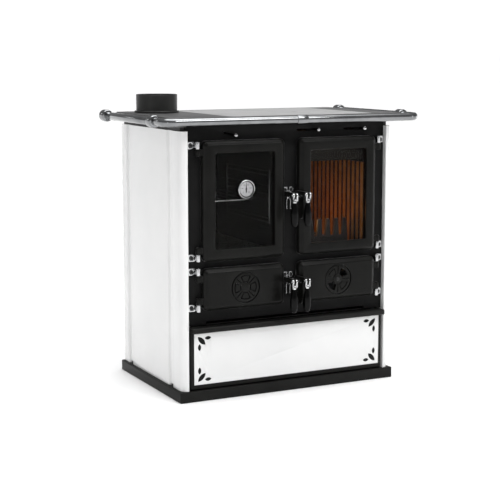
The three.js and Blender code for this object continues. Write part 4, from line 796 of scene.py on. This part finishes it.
# ---------------- oven thermometer
# A bimetal thermometer sits in front of the oven glass, its stem through the pane: a chromed case, a
# pale dial with a printed scale from 0 to 500, a black needle, and a domed lens. The lens sits on a
# black ring round the rim of the dial, which is painted shade on the inner wall of the bezel.

dial_y, gauge_x, gauge_z = -261, -162.4, 643
gauge_centre = (gauge_x, 0, gauge_z)
case = turned("thermometer_bezel", [
    (0, -240.8), (3, -240.8), (3, -250), (26.5, -250), (28.2, -251.2), (28.5, -253),
    (28.5, -263), (27.9, -265), (26.6, -266), (25.2, -265.6), (24.6, -264.4), (24.6, dial_y),
    (1.2, dial_y), (1.2, -265.3), (0, -265.4),
], 1, gauge_centre, 80)
painted(case, fitting_chrome)
dial_white = surface("dial_white", (0.80, 0.80, 0.82), (0.86, 0.86, 0.88),
                     gloss=(0.35, 0.45), patch=40, depth=0.004)
dial = turned("dial", [
    (0, dial_y - 0.06), (24.4, dial_y - 0.06), (24.4, dial_y + 0.2), (0, dial_y + 0.2),
], 1, gauge_centre, 64)
painted(dial, dial_white)
# Black ink for the printed scale, also used on the ring of painted shade round the dial.
scale_ink_and_shade = surface("scale_ink_and_shade", grey(0.008), grey(0.014),
                    gloss=(0.5, 0.6), patch=50, depth=0.002)
# A black ring round the rim of the dial, under the lens: painted shade on the inner wall of the
# bezel.
painted_shade_ring = turned("painted_shade_ring", [
    (22.7, dial_y - 2.3), (24.5, dial_y - 2.3), (24.5, dial_y - 0.08), (22.7, dial_y - 0.08),
    (22.7, dial_y - 2.3),
], 1, gauge_centre, 64)
prints_and_shade_ring = [painted(painted_shade_ring, scale_ink_and_shade)]
scale_start = 225
for i in range(51):
    long = i % 10 == 0
    inner = 18.2 if long else (19.4 if i % 5 == 0 else 20.4)
    half = 0.32 if long else 0.16
    tick = slab("tick", gauge_x + inner, gauge_x + 22, dial_y - 0.12, dial_y - 0.04,
                gauge_z - half, gauge_z + half)
    turned_about(tick, gauge_centre, "Y", -scale_start + 5.4 * i)
    prints_and_shade_ring.append(painted(tick, scale_ink_and_shade))
for i in range(6):
    around = math.radians(scale_start - 54 * i)
    bpy.ops.object.text_add(
        location=((gauge_x + 13.6 * math.cos(around)) * mm, (dial_y - 0.12) * mm,
                  (gauge_z + 13.6 * math.sin(around)) * mm),
        rotation=(math.pi / 2, 0, 0),
    )
    number = bpy.context.object
    number.data.body = str(100 * i)
    number.data.size = 4.6 * mm
    number.data.align_x = "CENTER"
    number.data.align_y = "CENTER"
    number.data.extrude = 0.04 * mm
    bpy.ops.object.convert(target="MESH")
    prints_and_shade_ring.append(painted(named(f"number_{i}"), scale_ink_and_shade))
bezel = together("thermometer_bezel", case, dial, *prints_and_shade_ring)
finished(bezel, None, "chrome", "oven_door", "thermometer_case")

needle = slab("needle", gauge_x - 1.1, gauge_x + 1.1, -262.1, -261.4, gauge_z - 10.5, gauge_z + 20.5)
for corner in needle.data.vertices:
    half = 0.3 if corner.co.z > gauge_z * mm else 2.1
    corner.co.x = (gauge_x + math.copysign(half, corner.co.x - gauge_x * mm)) * mm
weld(needle, ease(peg("hub", gauge_x, gauge_z, -262.5, -261.3, 3), 0.3))
carve(needle, peg("bore", gauge_x, gauge_z, -264, -260, 1.25, 20))
needle_black = surface("needle_black", grey(0.006), grey(0.010),
                       gloss=(0.3, 0.4), patch=60, depth=0.002)
finished(needle, needle_black, "pointer_paint", "thermometer_hand", "thermometer_pointer")

lens = turned("thermometer_lens", [
    (0, -265.9), (8, -265.75), (16, -265.3), (22, -264.7), (24.5, -264.2), (24.5, -263.6),
    (22, -264.1), (16, -264.7), (8, -265.15), (0, -265.3),
], 1, gauge_centre, 64)
finished(lens, clear_pane, "door_glass", "oven_door")

# ---------------- controls
# Three chromed balls stand on short stems that run in the slots of the front plate, each on a slide
# plate behind it: the smoke by-pass on the left, and two air slides over the fire door.

slide_steel = surface("slide_steel", grey(0.002), grey(0.004),
                      gloss=(0.5, 0.65), patch=30, grain=700, depth=0.02, shine=0.06)
controls = [
    ("bypass", bypass_x, bypass_z, 9.7), ("left_air", left_air_x, air_z, 9),
    ("right_air", right_air_x, air_z, 9),
]
for body, x, z, half in controls:
    bpy.ops.mesh.primitive_uv_sphere_add(
        segments=32, ring_count=20, radius=7 * mm, location=(x * mm, -238 * mm, z * mm),
    )
    ball = named("ball")
    bpy.ops.object.shade_smooth()
    collar = turned("collar", [
        (0, -233), (3.4, -233), (3.9, -231.8), (3.4, -230.6), (2.5, -230.2), (2.5, -214),
        (0, -214),
    ], 1, (x, 0, z), 32)
    plate = ease(slab("plate", x - 30, x + 30, -214.7, -212.7, z - half, z + half), 0.4)
    pull = together(f"{body}_pull", painted(ball, fitting_chrome),
                    painted(collar, fitting_chrome), painted(plate, slide_steel))
    finished(pull, None, "chrome", body, f"{body}_knob")

# ---------------- hob
# The hob is an iron frame, ground flat on top and painted, with a ground steel plate let into it.
# Over the fire a ring and a lid lift out, and the lid has a slot for the lifting tool.

# The frame's black is lifted to a dark grey: its own paint, plus a painted sheen for the light it
# catches at a low angle.
hob_black_with_painted_sheen = surface("hob_black_with_painted_sheen", (0.062, 0.062, 0.063), (0.092, 0.092, 0.093),
                    gloss=(0.34, 0.46), patch=10, depth=0.03, shine=0.3)
ground_steel = surface("ground_steel", grey(0.33), grey(0.46), metal=0.25,
                       gloss=(0.36, 0.5), patch=6, grain=420, depth=0.012, stretch=(1, 14, 1))

hob_side, hob_front, hob_rear, hob_top = 396, -258, 218, 860
flue_x, flue_y = -302, 95
hob_frame = rounded_block("hob_frame_casting", -hob_side, hob_side, hob_front, hob_rear,
                          846, hob_top, 2, 14, 12)
ease(hob_frame, 2, 4)
carve(
    hob_frame,
    rounded_block("recess", -200, 300, -240, 196, 852, 870, 2, 24, 10),
    rounded_block("opening", -168, 268, -208, 164, 830, 870, 2, 12, 8),
    post("flue_way", flue_x, flue_y, 830, 870, 63, 80),
)
skirt = rounded_block("skirt", -hob_side, hob_side, hob_front, hob_rear, 838, 847, 2, 14, 12)
carve(skirt, slab("inside", -384, 384, -246, 219, 830, 850))
weld(hob_frame, skirt)
smooth(hob_frame)
finished(hob_frame, hob_black_with_painted_sheen, "hob_iron", "root", "hob_frame")

lid_x, lid_y = 165, -20
plate_foot, ledge = 852.3, 856
hob_plate = rounded_block("hob_plate_casting", -199.6, 299.6, -239.6, 195.6,
                          plate_foot, hob_top, 2, 23.6, 12)
carve(
    hob_plate,
    post("well", lid_x, lid_y, 855.7, 870, 118.4, 128),
    post("way", lid_x, lid_y, 840, 870, 110.4, 128),
)
finished(ease(hob_plate, 0.8, 3), ground_steel, "ground_steel", "root", "hob_plate")

hob_ring = turned("hob_ring_casting", [
    (75.4, hob_top), (117.2, hob_top), (118, 859.2), (118, ledge), (110, ledge),
    (110, plate_foot), (67.4, plate_foot), (67.4, 855.7), (75.4, 855.7), (75.4, hob_top),
], 2, (lid_x, lid_y, 0), 128)
finished(hob_ring, ground_steel, "ground_steel", "hob_ring", "hob_ring")
hob_lid = turned("hob_lid_casting", [
    (0, hob_top), (74.2, hob_top), (75, 859.2), (75, ledge), (67, ledge), (67, plate_foot),
    (0, plate_foot),
], 2, (lid_x, lid_y, 0), 128)
carve(hob_lid, rounded_block("slot", 119, 143, -27, -13, 855.5, 870, 2, 5, 6))
finished(hob_lid, ground_steel, "ground_steel", "hob_disc", "hob_disc")

# ---------------- flue collar
# A short enamelled iron collar stands in the hob's left rear corner, with a foot flange, a stepped
# base and a plain upper end that the flue pipe pushes over.

collar_black = surface("collar_black", (0.010, 0.010, 0.0095), (0.016, 0.016, 0.0152),
                       gloss=(0.30, 0.42), patch=14, grain=700, depth=0.04, shine=0.25)
flue = turned("flue_spigot", [
    (61, 848), (62, 848), (62, 860.3), (70, 860.3), (70.5, 860.8), (70.5, 865.5), (69.7, 866.3),
    (66, 866.3), (65, 867.4), (65, 916.6), (64, 918), (62, 918), (61, 917), (61, 848),
], 2, (flue_x, flue_y, 0), 96)
finished(flue, collar_black, "flue_enamel", "root", "flue_collar")

# ---------------- hand rail
# The rail is chromed steel tube, carried clear of the hob's edge on barrel-shaped fittings. Two bends
# bring it round the front corners, and a short sleeve joins its halves at the front middle.

rail_height, side_x, front_y, fitting_y = 848.7, 432, -290, -186
bend_x, bend_y = 392, -250


def tube_end(name, x, y):
    """A round tube end that faces along Y, open for editing."""
    bpy.ops.mesh.primitive_circle_add(
        vertices=40, radius=12.5 * mm, fill_type="NGON",
        location=(x * mm, y * mm, rail_height * mm), rotation=(math.pi / 2, 0, 0),
    )
    tube = named(name)
    bpy.ops.object.mode_set(mode="EDIT")
    bpy.ops.mesh.select_mode(type="FACE")
    bpy.ops.mesh.select_all(action="SELECT")
    return tube


def swung(x, y, degrees):
    """Swings the chosen end about an upright line, leaving a bend behind it."""
    bpy.ops.mesh.spin(
        steps=14, angle=math.radians(degrees), axis=(0, 0, 1),
        center=(x * mm, y * mm, rail_height * mm),
    )


def tube_closed(tube):
    """Ends the editing of a tube, and takes the sharpness off its ends."""
    skin_out()
    return ease(tube, 0.6)


def fitting(y):
    """A barrel fitting on the right-hand rail, with its stub to the hob's edge."""
    barrel = turned("barrel", [
        (0, -17), (15.8, -17), (17.4, -16.2), (18.7, -13.8), (19, -12.2), (19, 12.2),
        (18.7, 13.8), (17.4, 16.2), (15.8, 17), (0, 17),
    ], 1, (side_x, y, rail_height), 48)
    stub = ease(bar("stub", (396.3, y, rail_height), (425, y, rail_height), 9, 32), 0.8)
    return weld(barrel, stub)


front_rail = tube_end("front_tube", -side_x, fitting_y)
pushed(0, bend_y - fitting_y)
swung(-bend_x, bend_y, -90)
pushed(2 * bend_x, 0)
swung(bend_x, bend_y, -90)
pushed(0, fitting_y - bend_y)
tube_closed(front_rail)
sleeve = bar("sleeve", (-7, front_y, rail_height), (28, front_y, rail_height), 14.3, 48)
ease(sleeve, 0.9, 3)
front_fitting = fitting(fitting_y)
carve(front_fitting, peg("bore", side_x, rail_height, fitting_y, -150, 13.1, 40))
twin_fitting = other_side(front_fitting, "twin_fitting")
front_rail = together("rail_front_tube", front_rail, sleeve, front_fitting, twin_fitting)
finished(front_rail, chrome_plate, "chrome", "root", "rail_front")

side_rail = tube_end("side_tube", side_x, -185.7)
pushed(0, 391.7)
side_rail = together("rail_side_tube_right", tube_closed(side_rail), fitting(206))
on_both_sides(side_rail, "rail_side_tube_left", chrome_plate, "chrome",
              ("rail_side_right", "rail_side_left"))

# ---------------- oven
# The oven is a welded steel box, enamelled black inside, with a chromed wire rack on each side wall
# and one wire shelf resting on the racks. The soot chamber lies under it.

oven_enamel = surface("oven_enamel", (0.005, 0.0055, 0.004), (0.009, 0.0095, 0.007),
                      gloss=(0.22, 0.36), patch=6, grain=300, depth=0.02, edge=2, shine=0.25)
dressed(oven_enamel, "oven_box")
wire_chrome = surface("wire_chrome", grey(0.24), grey(0.36), metal=1.0,
                      gloss=(0.18, 0.3), patch=30, depth=0.01)

rack_left, rack_right, rack_front, rack_back, shelf_z = -275.7, -49.1, -194, 108, 602.3
for x, name in ((rack_left, "oven_rack_left"), (rack_right, "oven_rack_right")):
    wires = [ease(post("upright", x, y, 525, 689, 2.5, 16), 0.7) for y in (rack_front, rack_back)]
    for rung in (527.5, 540, 597, 615, 641, 673, 686.5):
        wires.append(ease(peg("rung", x, rung, rack_front, rack_back, 2.3, 16), 0.5))
    finished(together(f"{name}_wires", *wires), wire_chrome, "chrome", "root", name)

shelf_front, shelf_back, shelf_wires = -188, 102, []
for y in (shelf_front, shelf_back):
    end = bar("end", (rack_left, y, shelf_z), (rack_right, y, shelf_z), 2.5, 16)
    shelf_wires.append(ease(end, 0.6))
for i in range(6):
    x = -268.7 + 38 * i
    shelf_wires.append(ease(peg("rod", x, shelf_z, shelf_front, shelf_back, 1.8, 14), 0.4))
finished(together("oven_shelf_wires", *shelf_wires), wire_chrome, "chrome", "root", "oven_shelf")

# ---------------- firebox
# The firebox is a welded steel casing lined on three sides with ribbed fire-clay slabs, whose lips
# run forward into the door's mouth. An iron grate lies in its floor, with a toothed guard along the
# front, a steel plate hangs over the door, and a small warm light stands for the fire.

fire_clay = surface("fire_clay", (0.19, 0.070, 0.012), (0.28, 0.108, 0.022),
                    gloss=(0.8, 0.92), patch=26, grain=420, depth=0.3, shine=0.2)
fire_steel = surface("fire_steel", (0.009, 0.008, 0.006), (0.018, 0.016, 0.012),
                     gloss=(0.55, 0.75), patch=22, grain=500, depth=0.15, edge=0.8, shine=0.15)
grate_iron = surface("grate_iron", (0.026, 0.025, 0.023), (0.046, 0.044, 0.041),
                     gloss=(0.55, 0.72), patch=30, grain=600, depth=0.3, shine=0.2)
dressed(fire_steel, "firebox_casing", "flame_deflector", "ash_chamber", "soot_chamber")

# The wall slabs and the lips are painted in a far darker clay than the ribs: painted shade in the
# grooves between the ribs.
painted_shade_clay = surface("painted_shade_clay", (0.016, 0.008, 0.004), (0.034, 0.017, 0.008),
                     gloss=(0.85, 0.95), patch=26, grain=420, depth=0.3, shine=0.2)
liner_foot, liner_top, lip_foot = 439.3, 705.3, 457
right_wall = painted(slab("wall", 266.2, 278.2, -212.4, 121, liner_foot, liner_top), painted_shade_clay)
lip = painted(ease(slab("lip", 266.2, 271.9, -235, -212.4, lip_foot, liner_top), 1), painted_shade_clay)
side_ribs = [post("rib", 267.2, -198 + 27 * i, liner_foot, liner_top, 5.8, 24) for i in range(12)]
side_ribs.append(post("rib", 266.1, -225, lip_foot, liner_top, 5.8, 24))
side_ribs = [painted(ease(rib, 0.6), fire_clay) for rib in side_ribs]
right_wall = together("liner_wall_right", right_wall, lip, *side_ribs)
left_wall = shifted(other_side(right_wall, "liner_wall_left"), 324.8, 0, 0)
back_wall = painted(slab("back", 46.6, 278.2, 119, 140, liner_foot, liner_top), painted_shade_clay)
back_ribs = [post("rib", 69.4 + 12 * i, 120, liner_foot, liner_top, 3.6, 20) for i in range(17)]
back_ribs = [painted(ease(rib, 0.4), fire_clay) for rib in back_ribs]
liner = together("fire_clay_liner", right_wall, left_wall, back_wall, *back_ribs)
finished(liner, None, "refractory", "root", "fire_liner")

grate_left, grate_right = 74.4, 250.4
grate = rounded_block("fire_grate_casting", grate_left, grate_right, -158, 96,
                      liner_foot, 449.3, 2, 6, 6)
grate_slots = [
    rounded_block("slot", 88.9 + 23 * i, 97.9 + 23 * i, -138, 76, 430, 460, 2, 4.4, 6)
    for i in range(7)
]
ease(carve(grate, *grate_slots), 1)
guard = slab("guard", grate_left, grate_right, -165, -157, liner_foot, 469.3)
for i in range(6):
    x = 84.9 + 31 * i
    tooth = slab("tooth", x - 10, x + 10, -165, -157, 468, 523.3)
    for corner in tooth.data.vertices:
        if corner.co.z > 0.5:
            corner.co.x = (x + math.copysign(6, corner.co.x - x * mm)) * mm
    weld(guard, round_corners(tooth, 1, 2, 3))
grate_parts = together("fire_grate_casting", grate, ease(guard, 1.2, 3))
finished(grate_parts, grate_iron, "grate_iron", "root", "fire_grate")

dressed(zinc_coat, "ash_pan")

bpy.ops.object.light_add(type="POINT", location=(0.10, -0.12, 0.52))
embers = bpy.context.object
embers.name = "ember_glow"
embers.data.energy = 0.6
embers.data.color = (1, 0.42, 0.11)
embers.data.shadow_soft_size = 0.04

# ---------------- wood drawer
# The drawer under the doors is a zinc-coated steel box on runners. Its black front carries a white
# enamelled panel, pierced by three leaves in each corner, and a black bar that is pulled from below.


def leaf(x, z, length, width, degrees):
    """A leaf-shaped cutter: what two level drums have in common."""
    reach = (length * length + width * width) / (4 * width)
    aside = reach - width / 2
    lower, upper = (peg("half", x, z + side * aside, -250, -230, reach, 96) for side in (-1, 1))
    return turned_about(combined(lower, "INTERSECT", [upper]), (x, 0, z), "Y", -degrees)


sheet_side, sheet_foot, sheet_top = 326.5, 50.5, 208.5
drawer_panel = slab("drawer_panel_sheet", -sheet_side, sheet_side, -238.3, -236.3,
                    sheet_foot, sheet_top)
leaves = []
for side in (-1, 1):
    for edge, inward in ((sheet_foot, 1), (sheet_top, -1)):
        for across, up, length, width, degrees in (
            (24.7, 22.1, 36, 15, -45 * side * inward), (46, 14.7, 21.5, 11, 0),
            (17.6, 42.7, 21.5, 11, 90),
        ):
            x = side * (sheet_side - across)
            leaves.append(leaf(x, edge + inward * up, length, width, degrees))
ease(carve(drawer_panel, *leaves), 0.5, 2, 60)
finished(drawer_panel, white_enamel, "white_enamel", "drawer", "drawer_panel")

drawer_side = 337
drawer_front = slab("drawer_front_pressing", -drawer_side, drawer_side, -236, -220, 37, 212)
carve(drawer_front, slab("hollow", -334, 334, -233, -221.8, 40, 209),
      slab("opening", -322, 322, -233, -200, 52, 197))
finished(ease(drawer_front, 1.4, 3), satin_black, "black_paint", "drawer", "drawer_front")

bar_line = [
    (-255, 212.3), (-251, 212.3), (-251, 225), (-240.3, 225), (-240.3, 212.3), (-223.5, 212.3),
    (-223.5, 229), (-255, 229), (-258, 226), (-258, 215.3),
]
drawer_bar = drawn_line("drawer_bar_section", [(-drawer_side, y, z) for y, z in bar_line])
bpy.ops.mesh.select_all(action="SELECT")
bpy.ops.mesh.edge_face_add()
pushed(2 * drawer_side, 0)
skin_out()
finished(ease(drawer_bar, 0.8), satin_black, "black_paint", "drawer", "drawer_bar")
dressed(zinc_coat, "drawer_box")
